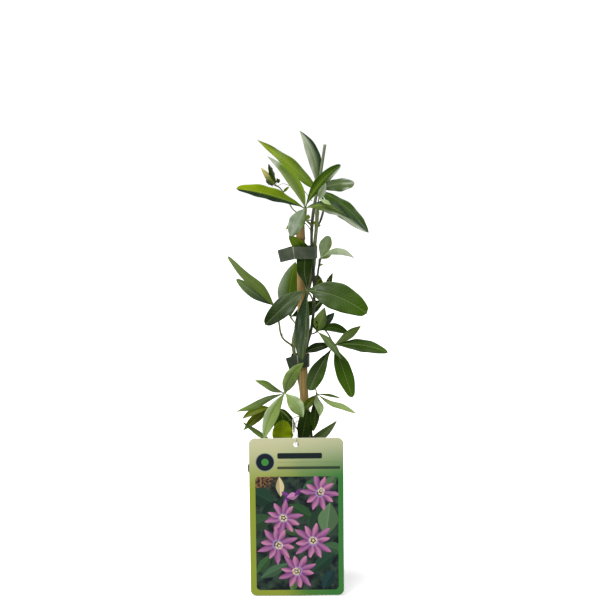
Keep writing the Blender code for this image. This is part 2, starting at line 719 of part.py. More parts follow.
def make_tag():
    """A thin plastic card with round corners and a hole for its string."""
    x, y = TAG_WIDTH / 2 - TAG_CORNER, TAG_HEIGHT / 2 - TAG_CORNER
    corners = [(x, y, 0), (-x, y, 90), (-x, -y, 180), (x, -y, 270)]
    outline = [point for cx, cy, turn in corners for point in arc(cx, cy, TAG_CORNER, turn, turn + 90, 6)]
    hole = arc(0, TAG_HEIGHT / 2 - TAG_HOLE_DROP, TAG_HOLE_RADIUS, 0, 340, 17)
    data = bpy.data.curves.new("hang_tag", "CURVE")
    data.dimensions = "2D"
    data.fill_mode = "BOTH"
    data.extrude = TAG_THICKNESS / 2 * MM
    for ring in (outline, hole):
        spline = data.splines.new("POLY")
        spline.points.add(len(ring) - 1)
        spline.use_cyclic_u = True
        for knot, (px, py) in zip(spline.points, ring):
            knot.co = (px * MM, py * MM, 0, 1)
    tag = add_object("hang_tag", data, "card")
    middle = TAG_FLOOR_GAP + TAG_HEIGHT / 2 * math.cos(TAG_LEAN)
    tag.rotation_euler = (math.pi / 2 + TAG_LEAN, 0, 0)
    tag.rotation_euler.rotate_axis("Z", TAG_TURN)
    tag.location = Vector((tag_x(middle), tag_y(middle), middle)) * MM


def make_string():
    """One loop of string: through the tag's hole, over its top edge, and round the cane and stems."""
    top = TAG_FLOOR_GAP + TAG_HEIGHT * math.cos(TAG_LEAN)
    hole = top - TAG_HOLE_DROP
    x = tag_x(hole)
    route = [
        (x, tag_y(hole), hole),
        (x - 0.3, tag_y(hole) - 1.4, hole + 1.6),
        (x - 0.4, tag_y(top) - 1.3, top - 0.4),
        (x - 0.2, tag_y(top) + 1, top + 1.6),
        (-0.3, -34, 155),
        (-0.3, -15, 158),
        (2, -6.6, 160.4),
        (10, -5.6, 161.5),
        (17, -2, 162),
        (17.5, 6.5, 162),
        (12, 10, 162),
        (3, 9.6, 162),
        (-1.8, 3, 161),
        (-2.4, -8, 158.5),
        (-2.4, -20, 156.5),
        (-2, -34, 153.6),
        (x - 0.6, tag_y(top) + 3, top - 1),
        (x - 0.1, tag_y(hole) + 1.6, hole + 1.2),
    ]
    path = smooth_path([*route, route[0]], 3)[:-1]
    tube("tag_string", path, STRING_RADIUS, "string", sides=1, closed=True)


make_pot()
make_soil()
make_cane()
make_vines()
make_leaves()
make_bud()
for letter, *sizes in BRACTS:
    make_bract("bud_bract_" + letter, *sizes)
make_tendrils()
make_ties()
make_tag()
make_string()
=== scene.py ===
"""A young passion flower climber as a nursery sells it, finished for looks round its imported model.

The sections follow the plant as it is potted up: pot, soil, cane, stems, leaves, bud, axil buds,
tendrils, ties, hang tag and string, and then the studio. Sizes are in millimetres, and MM turns them
into metres.
"""

import math

import bmesh
import bpy
import numpy as np
from mathutils import Matrix, Vector, noise


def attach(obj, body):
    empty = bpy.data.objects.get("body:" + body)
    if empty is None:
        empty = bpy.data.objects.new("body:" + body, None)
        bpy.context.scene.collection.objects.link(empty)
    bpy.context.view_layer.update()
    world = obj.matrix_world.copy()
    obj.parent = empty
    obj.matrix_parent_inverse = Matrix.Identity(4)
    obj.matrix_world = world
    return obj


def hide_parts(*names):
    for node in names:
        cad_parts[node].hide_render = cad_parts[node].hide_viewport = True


MM = 0.001
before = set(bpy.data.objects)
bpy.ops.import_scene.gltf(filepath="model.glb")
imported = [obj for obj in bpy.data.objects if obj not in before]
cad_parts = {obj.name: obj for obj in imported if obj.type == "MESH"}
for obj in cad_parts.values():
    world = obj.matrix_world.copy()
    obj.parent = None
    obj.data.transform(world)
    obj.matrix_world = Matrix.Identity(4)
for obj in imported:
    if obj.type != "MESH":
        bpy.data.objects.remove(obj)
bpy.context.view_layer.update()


# ---------------------------------------------------------------- pot
# The nursery pot is thin injection-moulded black polypropylene: a flat foot with drain holes, a tapering
# wall, and a deeper band at the rim that stiffens it and lets pots stack. The plant stands on its foot.

POT_HEIGHT = 117
POT_RIM_RADIUS = 45.5
POT_BAND_FOOT = 111
POT_SHOULDER_RADIUS = 41.5
POT_FOOT_RADIUS = 33
POT_WALL = 1.1
POT_SIDES = 144
DRAIN_RING = 22
DRAIN_RADIUS = 3.5
DRAIN_COUNT = 6
FOOT_RISE = 1.2  # the middle of the foot stands this far above the ring that touches the table


def set_sockets(tree, sockets, values):
    """Gives sockets their values, or the links they are fed by."""
    for key, value in values.items():
        if isinstance(value, bpy.types.NodeSocket):
            tree.links.new(value, sockets[key])
        else:
            sockets[key].default_value = value


def node(tree, kind, inputs=None, **settings):
    """Adds a node: settings are its own properties, inputs are sockets' values or what they link to."""
    made = tree.nodes.new(kind)
    for key, value in settings.items():
        setattr(made, key, value)
    set_sockets(tree, made.inputs, inputs or {})
    return made


def maths(tree, operation, *values):
    """The output of a Math node."""
    return node(tree, "ShaderNodeMath", dict(enumerate(values)), operation=operation).outputs[0]


def times(tree, first, second):
    return maths(tree, "MULTIPLY", first, second)


def parts_of(tree, vector):
    """A vector's or a colour's three parts."""
    return node(tree, "ShaderNodeSeparateXYZ", {0: vector}).outputs


def noise_at(tree, point, scale, detail, roughness=0.5):
    """Cloudy noise, 0 to 1."""
    settings = {"Vector": point, "Scale": scale, "Detail": detail, "Roughness": roughness}
    return node(tree, "ShaderNodeTexNoise", settings).outputs[0]


def varied(tree, share, low, high):
    """low where share is 0 and high where it is 1."""
    return node(tree, "ShaderNodeMapRange", {"Value": share, "To Min": low, "To Max": high}).outputs[0]


def soft_step(tree, value, low, high):
    """0 below low and 1 above high, with a smooth step between."""
    settings = {"Value": value, "From Min": low, "From Max": high}
    return node(tree, "ShaderNodeMapRange", settings, interpolation_type="SMOOTHSTEP").outputs[0]


def mixed(tree, share, first, second):
    """The colour between first and second."""
    return node(tree, "ShaderNodeMix", {0: share, 6: first, 7: second}, data_type="RGBA").outputs[2]


def colour(red, green, blue):
    """A display colour, 0 to 255, as the linear one that a shader takes."""
    return (*(((c / 255 + 0.055) / 1.055) ** 2.4 if c > 10 else c / 3294.6 for c in (red, green, blue)), 1)


def new_material(name):
    """A material and its nodes."""
    made = bpy.data.materials.new(name)
    made.use_nodes = True
    return made, made.node_tree


def set_shader(tree, **values):
    """Sets the Principled shader's sockets. A name's underscores stand for spaces."""
    named = {key.replace("_", " "): value for key, value in values.items()}
    set_sockets(tree, tree.nodes["Principled BSDF"].inputs, named)


def new_group(name, inputs, outputs):
    """A shader node group with those sockets. Returns the tree, its inputs and its output node."""
    tree = bpy.data.node_groups.new(name, "ShaderNodeTree")
    for label, kind, value in inputs:
        socket = tree.interface.new_socket(label, in_out="INPUT", socket_type="NodeSocket" + kind)
        socket.default_value = value
    for label, kind in outputs:
        tree.interface.new_socket(label, in_out="OUTPUT", socket_type="NodeSocket" + kind)
    return tree, tree.nodes.new("NodeGroupInput").outputs, tree.nodes.new("NodeGroupOutput").inputs


def placed_group(tree, group, inputs):
    """The outputs of a group placed in a material."""
    return node(tree, "ShaderNodeGroup", inputs, node_tree=group).outputs


def make_mottle_group():
    """Patchy colour and a fine uneven surface, which every natural or moulded finish here has some of."""
    tree, given, out = new_group(
        "mottle",
        [("Point", "Vector", (0, 0, 0)), ("Patch Scale", "Float", 60), ("Grain Scale", "Float", 900)],
        [("Patches", "Float"), ("Grain", "Float")],
    )
    patches = noise_at(tree, given[0], given[1], 3, 0.55)
    tree.links.new(soft_step(tree, patches, 0.32, 0.68), out[0])
    tree.links.new(noise_at(tree, given[0], given[2], 2, 0.6), out[1])
    return tree


MOTTLE = make_mottle_group()


def object_point(tree):
    return node(tree, "ShaderNodeTexCoord").outputs["Object"]


def mottled(tree, patch_scale, grain_scale):
    """The mottle on a piece: its Patches and its Grain."""
    inputs = {"Point": object_point(tree), "Patch Scale": patch_scale, "Grain Scale": grain_scale}
    return placed_group(tree, MOTTLE, inputs)


def bumped(tree, height, distance, strength=1.0):
    """A Bump node's normal. distance is in millimetres."""
    settings = {"Height": height, "Distance": distance * MM, "Strength": strength}
    return node(tree, "ShaderNodeBump", settings).outputs[0]


def new_object(name, data):
    made = bpy.data.objects.new(name, data)
    bpy.context.scene.collection.objects.link(made)
    return made


def new_piece(name, mesh, materials, replaces=()):
    """A finished piece that rides with the plant, and stands for those CAD nodes."""
    piece = new_object(name, mesh)
    for finish in materials:
        mesh.materials.append(finish)
    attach(piece, "root")
    if replaces:
        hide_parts(*replaces)
    return piece


def mesh_from(name, bm, smooth=True):
    """A mesh in metres from a bmesh in millimetres."""
    bmesh.ops.scale(bm, vec=(MM, MM, MM), verts=bm.verts)
    for face in bm.faces:
        face.smooth = smooth
    mesh = bpy.data.meshes.new(name)
    bm.to_mesh(mesh)
    bm.free()
    return mesh


def baked(piece):
    """Applies a piece's modifiers to its mesh."""
    graph = bpy.context.evaluated_depsgraph_get()
    mesh = bpy.data.meshes.new_from_object(piece.evaluated_get(graph))
    piece.modifiers.clear()
    piece.data = mesh


def turned(profile, sides):
    """A bmesh of a profile of (radius, height) points turned about Z."""
    bm = bmesh.new()
    points = [bm.verts.new((radius, 0, height)) for radius, height in profile]
    edges = [bm.edges.new(pair) for pair in zip(points, points[1:])]
    whole_turn = {"cent": (0, 0, 0), "axis": (0, 0, 1), "angle": 2 * math.pi, "steps": sides}
    bmesh.ops.spin(bm, geom=points + edges, use_merge=True, **whole_turn)
    bmesh.ops.remove_doubles(bm, verts=bm.verts, dist=0.001)
    bmesh.ops.recalc_face_normals(bm, faces=bm.faces)
    return bm


def pot_plastic():
    made, tree = new_material("pot plastic")
    mottle = mottled(tree, 38, 1500)
    height = parts_of(tree, object_point(tree))[2]
    dusty = times(tree, soft_step(tree, height, 0.035, 0.0), mottle["Patches"])
    plain = mixed(tree, mottle["Patches"], colour(30, 32, 30), colour(40, 42, 39))
    set_shader(
        tree,
        Base_Color=mixed(tree, times(tree, dusty, 0.5), plain, colour(96, 84, 70)),
        Roughness=varied(tree, mottle["Patches"], 0.38, 0.55),
        Normal=bumped(tree, mottle["Grain"], 0.05),
    )
    return made


def make_pot():
    wall_foot = POT_FOOT_RADIUS - 1.2
    band_inner = POT_RIM_RADIUS - POT_WALL - 0.3
    shoulder_inner = POT_SHOULDER_RADIUS - POT_WALL
    profile = [
        (0, FOOT_RISE),
        (wall_foot - 5, FOOT_RISE),
        (wall_foot - 4, 0.3),
        (wall_foot - 3.6, 0),
        (wall_foot - 0.6, 0),
        (wall_foot + 0.5, 0.5),
        (POT_FOOT_RADIUS, 2),
        (POT_FOOT_RADIUS + 0.2, 3),
        (POT_SHOULDER_RADIUS - 0.1, POT_BAND_FOOT - 7),
        (POT_SHOULDER_RADIUS, POT_BAND_FOOT - 5),
        (POT_SHOULDER_RADIUS + 0.2, POT_BAND_FOOT - 1.6),
        (POT_SHOULDER_RADIUS + 0.8, POT_BAND_FOOT - 0.6),
        (POT_RIM_RADIUS - 1, POT_BAND_FOOT - 0.2),
        (POT_RIM_RADIUS - 0.4, POT_BAND_FOOT + 0.2),
        (POT_RIM_RADIUS - 0.2, POT_BAND_FOOT + 0.8),
        (POT_RIM_RADIUS, POT_HEIGHT - 1),
        (POT_RIM_RADIUS - 0.15, POT_HEIGHT - 0.4),
        (POT_RIM_RADIUS - 0.6, POT_HEIGHT),
        (band_inner + 0.1, POT_HEIGHT - 0.2),
        (band_inner, POT_HEIGHT - 1),
        (band_inner - 0.2, POT_BAND_FOOT + 0.9),
        (shoulder_inner, POT_BAND_FOOT - 0.5),
        (shoulder_inner - 0.2, POT_BAND_FOOT - 5),
        (POT_FOOT_RADIUS - POT_WALL, 3.5),
        (wall_foot - 2, FOOT_RISE + 1),
        (0, FOOT_RISE + 1),
    ]
    pot = new_piece("pot_shell", mesh_from("pot_shell", turned(profile, POT_SIDES)), [POT_PLASTIC], ["pot"])
    drills = bmesh.new()
    for index in range(DRAIN_COUNT):
        angle = 2 * math.pi * (index + 0.5) / DRAIN_COUNT
        place = Matrix.Translation((DRAIN_RING * math.cos(angle), DRAIN_RING * math.sin(angle), 0))
        size = {"radius1": DRAIN_RADIUS, "radius2": DRAIN_RADIUS, "depth": 10}
        bmesh.ops.create_cone(drills, cap_ends=True, segments=32, matrix=place, **size)
    drill = new_object("drill", mesh_from("drill", drills))
    holes = pot.modifiers.new("drain holes", "BOOLEAN")
    holes.object = drill
    holes.solver = "EXACT"
    baked(pot)
    bpy.data.objects.remove(drill)
    pot.data.shade_smooth()
    pot.data.set_sharp_from_angle(angle=math.radians(40))


POT_PLASTIC = pot_plastic()
make_pot()


# ---------------------------------------------------------------- soil
# Damp peat-based potting soil, filled to a finger's width under the rim and a little mounded round the
# stems. Crumbs of peat, chips of bark and a few grains of perlite lie loose on top.

SOIL_TOP = 99
SOIL_MOUND = 3
SOIL_SINK = 1.4  # its middle lies this far under the mound's height
SOIL_FOOT = POT_WALL + 1.6
SOIL_CLEAR = 0.3
SOIL_RINGS = 26
SOIL_SEED = 7


def mottled_finish(name, dark, light, scales, uneven, **values):
    """A finish of two colours in patches. uneven is how high its grain stands."""
    made, tree = new_material(name)
    mottle = mottled(tree, *scales)
    tone = mixed(tree, mottle["Patches"], colour(*dark), colour(*light))
    set_shader(tree, Base_Color=tone, Normal=bumped(tree, mottle["Grain"], uneven), **values)
    return made


def soil_finish(name, dark, light):
    return mottled_finish(name, dark, light, (320, 1900), 0.4, Roughness=0.93, Specular_IOR_Level=0.25)


def soil_radius(height):
    """The radius of the soil inside the pot's wall at a height."""
    top = POT_BAND_FOOT - 5
    inner = POT_FOOT_RADIUS + (POT_SHOULDER_RADIUS - POT_FOOT_RADIUS) * (height - 2) / (top - 2) - POT_WALL
    return inner - SOIL_CLEAR


def soil_height(x, y):
    """The uneven top of the soil."""
    away = min(1, math.hypot(x, y) / soil_radius(SOIL_TOP))
    lumps = noise.noise(Vector((x, y, 3)) * 0.16) * 1.3 + noise.noise(Vector((x, y, 9)) * 0.45) * 0.6
    return SOIL_TOP + SOIL_MOUND * (1 - away**2) - SOIL_SINK + lumps * (1 - away**6)


def make_soil():
    edge = soil_radius(SOIL_TOP)
    profile = [(edge * ring / SOIL_RINGS, SOIL_TOP) for ring in range(SOIL_RINGS + 1)]
    profile += [(soil_radius(60), 60), (soil_radius(6), 6), (soil_radius(6) - 2, SOIL_FOOT), (0, SOIL_FOOT)]
    bm = turned(profile, 72)
    for vert in bm.verts:
        if vert.co.z > SOIL_TOP - 1:
            vert.co.z = soil_height(vert.co.x, vert.co.y)
    new_piece("soil_fill", mesh_from("soil_fill", bm), [PEAT], ["soil"])


def new_geometry_group(name, sizes):
    """A Geometry Nodes group with those number inputs. Returns the tree and its inputs."""
    tree = bpy.data.node_groups.new(name, "GeometryNodeTree")
    face = tree.interface
    face.new_socket("Geometry", in_out="INPUT", socket_type="NodeSocketGeometry")
    for label, value in sizes.items():
        kind = "NodeSocketInt" if isinstance(value, int) else "NodeSocketFloat"
        face.new_socket(label, in_out="INPUT", socket_type=kind).default_value = value
    face.new_socket("Geometry", in_out="OUTPUT", socket_type="NodeSocketGeometry")
    return tree, tree.nodes.new("NodeGroupInput").outputs


def end_geometry_group(tree, geometry, finish):
    """Makes the geometry real, gives it its finish and hands it out."""
    solid = node(tree, "GeometryNodeRealizeInstances", {"Geometry": geometry})
    shaded = node(tree, "GeometryNodeSetMaterial", {"Geometry": solid.outputs[0], "Material": finish})
    node(tree, "NodeGroupOutput", {"Geometry": shaded.outputs[0]})


def set_sizes(modifier, sizes):
    """Sets a Geometry Nodes modifier's inputs by their names."""
    for socket in modifier.node_group.interface.items_tree:
        if socket.item_type == "SOCKET" and socket.in_out == "INPUT" and socket.name in sizes:
            modifier[socket.identifier] = sizes[socket.name]


def vector_maths(tree, operation, *values):
    """The vector output of a Vector Math node."""
    return node(tree, "ShaderNodeVectorMath", dict(enumerate(values)), operation=operation).outputs[0]


def scaled(tree, vector, factor):
    """A vector made that many times as long."""
    return node(tree, "ShaderNodeVectorMath", {0: vector, "Scale": factor}, operation="SCALE").outputs[0]


def crumb_tree(finish):
    """Geometry Nodes that scatter rough crumbs of one finish over a patch of soil."""
    sizes = {"Density": 100000.0, "Smallest": 0.0004, "Largest": 0.001, "Length": 1.5, "Seed": 1}
    tree, given = new_geometry_group("scattered " + finish.name, sizes)
    scatter = node(
        tree,
        "GeometryNodeDistributePointsOnFaces",
        {"Mesh": given["Geometry"], "Density": given["Density"], "Seed": given["Seed"]},
    )
    crumb = node(tree, "GeometryNodeMeshIcoSphere", {"Radius": 1.0, "Subdivisions": 2})
    rough = node(tree, "ShaderNodeTexNoise", {"Scale": 1.3, "Detail": 1.0})
    centred = vector_maths(tree, "SUBTRACT", rough.outputs[1], (0.5, 0.5, 0.5))
    lumps = scaled(tree, centred, 1.6)
    lumpy = node(tree, "GeometryNodeSetPosition", {"Geometry": crumb.outputs[0], "Offset": lumps})
    size = node(
        tree,
        "FunctionNodeRandomValue",
        {"Min": given["Smallest"], "Max": given["Largest"], "Seed": given["Seed"]},
        data_type="FLOAT",
    )
    size_out = next(s for s in size.outputs if s.enabled)
    spin = node(tree, "FunctionNodeRandomValue", {"Seed": given["Seed"]}, data_type="FLOAT_VECTOR")
    spin.inputs["Max"].default_value = (6.28, 6.28, 6.28)
    stretch = node(tree, "ShaderNodeCombineXYZ", {0: given["Length"], 1: 1.0, 2: 0.7})
    placed = node(
        tree,
        "GeometryNodeInstanceOnPoints",
        {
            "Points": scatter.outputs[0],
            "Instance": lumpy.outputs[0],
            "Rotation": next(s for s in spin.outputs if s.enabled),
            "Scale": scaled(tree, stretch.outputs[0], size_out),
        },
    )
    end_geometry_group(tree, placed.outputs[0], finish)
    return tree


def make_crumbs(name, finish, density, smallest, largest, length, seed):
    """Loose grains on the soil's top, kept off the cane and stems."""
    bm = bmesh.new()
    bmesh.ops.create_grid(bm, x_segments=60, y_segments=60, size=36)
    reach = soil_radius(SOIL_TOP) - 2.5
    stray = [v for v in bm.verts if v.co.xy.length > reach or (v.co.xy - Vector((11, 3))).length < 11]
    bmesh.ops.delete(bm, geom=stray, context="VERTS")
    for vert in bm.verts:
        vert.co.z = soil_height(vert.co.x, vert.co.y) + 0.2
    piece = new_object(name, mesh_from(name, bm))
    scatter = piece.modifiers.new("scatter", "NODES")
    scatter.node_group = crumb_tree(finish)
    sizes = {"Density": density, "Smallest": smallest * MM, "Largest": largest * MM}
    set_sizes(scatter, {**sizes, "Length": length, "Seed": seed})
    baked(piece)
    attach(piece, "root")


PEAT = soil_finish("peat", (34, 24, 17), (66, 48, 34))
BARK = soil_finish("bark chips", (66, 44, 28), (104, 74, 48))
PERLITE = soil_finish("perlite", (196, 192, 182), (228, 226, 218))
make_soil()
make_crumbs("soil_peat_crumbs", PEAT, 160000, 0.5, 1.3, 1.4, SOIL_SEED)
make_crumbs("soil_bark_chips", BARK, 36000, 0.6, 1.4, 2.6, SOIL_SEED + 1)
make_crumbs("soil_perlite", PERLITE, 9000, 0.5, 1.0, 1.1, SOIL_SEED + 2)


# ---------------------------------------------------------------- cane
# A length of split-free bamboo, pushed to the bottom of the pot, that the plant is trained up. Its skin
# is smooth and straw-brown with darker flecks, and it thickens in a ring at each joint.

CANE_RADIUS = 4.1
CANE_FOOT = Vector((13.8, 0, 14))
CANE_HEAD = Vector((4.4, 0, 352))
CANE_KNOTS = (150, 236, 318)
# The swollen ring at a joint: how far above the joint, and how far out of the cane's skin.
CANE_RING = ((6, 0), (3, 0.12), (1.4, 0.4), (0.4, 0.5), (-0.5, 0.36), (-1.1, -0.1), (-1.8, -0.25), (-4, 0))
CANE_BORE_RADIUS = 1.7
CANE_BORE_DEPTH = 12
CANE_SIDES = 40
CANE_BEND = 1.2
CANE_BEND_FROM = 90
CANE_KNOT_REACH = 3.5  # the skin is darker this near a joint


def drawn_out(tree, point, scale):
    """A point with each part scaled, so that a noise there is drawn out along the small ones."""
    return node(tree, "ShaderNodeMapping", {"Vector": point, "Scale": scale}).outputs[0]


def carried(tree, name, kind="Fac"):
    """What the mesh carries under a name."""
    return node(tree, "ShaderNodeAttribute", attribute_name=name).outputs[kind]


def cane_skin():
    made, tree = new_material("bamboo skin")
    fibre = noise_at(tree, drawn_out(tree, object_point(tree), (1, 1, 0.04)), 1500, 3)
    mottle = mottled(tree, 46, 700)
    fleck = soft_step(tree, mottle["Grain"], 0.66, 0.74)
    straw = mixed(tree, mottle["Patches"], colour(158, 130, 70), colour(188, 160, 92))
    lined = mixed(tree, soft_step(tree, fibre, 0.35, 0.75), straw, colour(132, 102, 58))
    ringed = mixed(tree, times(tree, carried(tree, "near_knot"), 0.75), lined, colour(98, 76, 46))
    set_shader(
        tree,
        Base_Color=mixed(tree, times(tree, fleck, 0.6), ringed, colour(104, 80, 44)),
        Roughness=0.48,
        Normal=bumped(tree, fibre, 0.12),
    )
    return made


def stand(bm, foot, head):
    """Stands what was made along Z on foot, leaning towards head."""
    lean = Vector((0, 0, 1)).rotation_difference((head - foot).normalized()).to_matrix().to_4x4()
    bmesh.ops.transform(bm, matrix=Matrix.Translation(foot) @ lean, verts=bm.verts)


def make_cane():
    length = (CANE_HEAD - CANE_FOOT).length
    profile = [
        (0, length - CANE_BORE_DEPTH),
        (CANE_BORE_RADIUS, length - CANE_BORE_DEPTH),
        (CANE_BORE_RADIUS, length - 0.2),
        (CANE_BORE_RADIUS + 0.2, length),
        (CANE_RADIUS - 0.4, length),
        (CANE_RADIUS - 0.1, length - 0.15),
        (CANE_RADIUS, length - 0.6),
    ]
    for knot in reversed(CANE_KNOTS):
        profile += [(CANE_RADIUS + rise, knot + step) for step, rise in CANE_RING]
        profile += [(CANE_RADIUS, knot - step) for step in (20, 40, 60)]
    profile += [(CANE_RADIUS, 60), (CANE_RADIUS, 0), (0, 0)]
    bm = turned(profile, CANE_SIDES)
    near = bm.verts.layers.float.new("near_knot")
    for vert in bm.verts:
        gap = min(abs(vert.co.z - knot) for knot in CANE_KNOTS)
        vert[near] = max(0, 1 - gap / CANE_KNOT_REACH)
        if vert.co.xy.length > CANE_RADIUS * 0.8:
            vert.co.xy *= 1 + 0.012 * noise.noise(vert.co * 0.05)
    for vert in bm.verts:
        along = min(1, max(0, (vert.co.z - CANE_BEND_FROM) / (length - CANE_BEND_FROM)))
        vert.co.x -= CANE_BEND * math.sin(math.pi * along) ** 2
    stand(bm, CANE_FOOT, CANE_HEAD)
    cane = new_piece("bamboo_cane", mesh_from("bamboo_cane", bm), [cane_skin()], ["cane"])
    cane.data.set_sharp_from_angle(angle=math.radians(50))


make_cane()


# ---------------------------------------------------------------- stems
# Two soft stems grow from the soil and are led up the cane. The older one is grey-brown and ends in the
# stub where it was pruned, and the younger is green. Both are grooved, and swell where a leaf grows.

VINE_RADIUS = 1.3
VINE_CLEAR = 0.35
VINE_FULLNESS = 1.08
YOUNG_FULLNESS = 1.3
YOUNG_FROM = 205  # above this height the young stem is at its fullest
NODE_SWELL = 0.26
NODE_REACH = 1.8
VINES = {
    "vine_long": [
        (18, 3, 86), (18, 3, 104), (15.5, 6, 140), (11.5, 7.2, 173), (9.4, 7.2, 198), (10.2, 7.2, 226),
        (15.5, 6.2, 250), (17.5, 5, 275), (16.8, 3.4, 302), (15.2, 2.6, 321), (15.4, 2.6, 345),
        (18.3, 3.4, 367), (22.8, 6.2, 387), (24.2, 7, 397), (27.6, 6, 420),
    ],
    "vine_short": [
        (5, 5, 86), (5, 5, 104), (3, 7, 140), (5.5, 7.4, 178), (2.5, 7.4, 202), (-1.8, 5.6, 227),
        (-1.2, 5.6, 240), (4.5, 9, 257), (12, 10.5, 283), (17.2, 8.4, 306), (17.8, 6, 322),
        (19.8, 4.2, 345), (20.4, 1.6, 360),
    ],
}


def smooth_path(points, steps):
    """Points on a smooth curve through the given ones, with that many steps between each two."""
    knots = [Vector(p) for p in points]
    ends = [2 * knots[0] - knots[1], *knots, 2 * knots[-1] - knots[-2]]
    path = []
    for a, b, c, d in zip(ends, ends[1:], ends[2:], ends[3:]):
        for step in range(steps):
            t = step / steps
            bend = (2 * a - 5 * b + 4 * c - d) * t**2 + (3 * b - a - 3 * c + d) * t**3
            path.append(0.5 * (2 * b + (c - a) * t + bend))
    return [*path, knots[-1]]


VINE_PATHS = {name: smooth_path(route, 3) for name, route in VINES.items()}


def vine_at(name, height):
    """The centre of a stem at a height."""
    for low, high in zip(VINE_PATHS[name], VINE_PATHS[name][1:]):
        if low.z <= height <= high.z:
            return low.lerp(high, (height - low.z) / (high.z - low.z))
    return VINE_PATHS[name][-1]


def beside_vine(name, height, toward, half_width):
    """Where a stalk of that half width, coming from toward, meets the skin of the stem."""
    root = vine_at(name, height)
    along = (vine_at(name, height + 0.5) - vine_at(name, height - 0.5)).normalized()
    way = Vector(toward) - root
    way -= way.dot(along) * along
    return root + way.normalized() * (VINE_RADIUS + VINE_CLEAR + half_width)


def sweep(bm, path, radii, sides, groove=0.0, twist=0.0):
    """Adds a round stalk along a path to the bmesh: rings of points that keep level, and closed ends.

    groove is how deep five grooves run along it, as a share of its radius, and twist turns them."""
    rings = []
    frame_side = (path[1] - path[0]).orthogonal().normalized()
    for index, place in enumerate(path):
        before, after = path[max(index - 1, 0)], path[min(index + 1, len(path) - 1)]
        tangent = (after - before).normalized()
        frame_side = (frame_side - frame_side.dot(tangent) * tangent).normalized()
        other = tangent.cross(frame_side)
        ring = []
        for side in range(sides):
            angle = 2 * math.pi * side / sides
            radius = radii[index] * (1 + groove * math.cos(5 * angle + twist * index))
            out = math.cos(angle) * frame_side + math.sin(angle) * other
            ring.append(bm.verts.new(place + radius * out))
        rings.append(ring)
    faces = []
    for low, high in zip(rings, rings[1:]):
        for side in range(sides):
            after = (side + 1) % sides
            faces.append(bm.faces.new((low[side], low[after], high[after], high[side])))
    for ring, place, flip in ((rings[0], path[0], True), (rings[-1], path[-1], False)):
        top = bm.verts.new(place)
        for side in range(sides):
            pair = (ring[side], ring[(side + 1) % sides])
            faces.append(bm.faces.new((pair[1], pair[0], top) if flip else (pair[0], pair[1], top)))
    return faces


def stem_skin(name, young, old, rough=0.5):
    """Stem bark: streaks along the stem and darker patches."""
    made, tree = new_material(name)
    point = object_point(tree)
    streak = noise_at(tree, drawn_out(tree, point, (1, 1, 0.12)), 1300, 3)
    tip = times(tree, soft_step(tree, parts_of(tree, point)[2], 0.35, 0.385), 0.8)
    patched = mixed(tree, mottled(tree, 70, 1600)["Patches"], young, old)
    base = mixed(tree, tip, patched, colour(138, 150, 116))
    set_shader(
        tree,
        Base_Color=mixed(tree, times(tree, soft_step(tree, streak, 0.4, 0.7), 0.4), base, old),
        Roughness=rough,
        Normal=bumped(tree, streak, 0.15),
    )
    return made


VINE_SKINS = {
    "vine_long": stem_skin("old stem bark", colour(92, 100, 72), colour(58, 58, 46)),
    "vine_short": stem_skin("young stem skin", colour(156, 168, 118), colour(118, 134, 84)),
}
GREEN_STALK = stem_skin("green stalk skin", colour(138, 152, 88), colour(92, 108, 54))


def make_stem(name, joints):
    """joints are the heights where leaves grow and the stem swells."""
    path = smooth_path(VINES[name], 14)
    radii = []
    for place in path:
        swell = sum(math.exp(-(((place.z - height) / NODE_REACH) ** 2)) for height in joints)
        full = YOUNG_FULLNESS if name == "vine_short" and place.z > YOUNG_FROM else VINE_FULLNESS
        radii.append(VINE_RADIUS * (full + NODE_SWELL * min(swell, 1)))
    bm = bmesh.new()
    sweep(bm, path, radii, 20, groove=0.06, twist=0.035)
    new_piece(name + "_bark", mesh_from(name, bm), [VINE_SKINS[name]], [name])


# ---------------------------------------------------------------- leaves
# Each leaf is palmate: two to five narrow lobes run together on one stalk. Upper faces are waxy and dark
# with a pale midrib, young leaves are paler and greyer, and undersides are matt with a raised rib.

BLADE_THICKNESS = 0.26
LOBE_ROWS = 34
LOBE_COLUMNS = 14
STALK_RADIUS = 0.75
MARGIN_WAVE = 0.045  # of the lobe's width
GROOVE_DEPTH = 0.22
GROOVE_WIDTH = 0.35
# The shade tone is a dark green that halves turned from the light take as painted shade. The silver tone is
# the pale colour of young leaves, and on older leaves' rims, tips and halves a painted reflection of the
# bright room.
GREENS = {
    "deep": (26, 45, 4),
    "shade": (36, 58, 34),
    "slate": (68, 86, 46),
    "moss": (48, 77, 0),
    "grass": (96, 122, 14),
    "spring": (108, 130, 52),
    "lime": (150, 170, 4),
    "olive": (92, 104, 2),
    "gold": (140, 160, 2),
    "fern": (92, 111, 58),
    "leafy": (58, 88, 0),
    "frost": (136, 150, 126),
    "meadow": (120, 150, 36),
    "sage": (138, 158, 92),
    "pale": (160, 178, 134),
    "silver_and_sheen": (180, 188, 166),
}


def lobe(reach, width, base, tip=None, **shape):
    """One lobe: where its tip lies from the hub, its width, and its colours.

    bow lifts its middle, sway bends it like an S, and fold raises its left and right halves, in degrees.
    peak is where it is widest and round how blunt its tip is. halves scales the two halves' widths, left
    and right name the colour that a half takes towards its edge, over sharp of its width; a half in the
    shade tone is painted shade, turned from the light. rim is the colour of a margin on the left or right,
    which starts at rim_from. tip_tone is the colour of its very tip. On older leaves a half, rim or tip in
    the silver tone is a painted reflection of the bright room. gleam is how bright its painted sheen of
    pale highlight streaks is, from where to where, and on which side."""
    return dict(reach=reach, width=width, base=base, tip=tip or base, **shape)


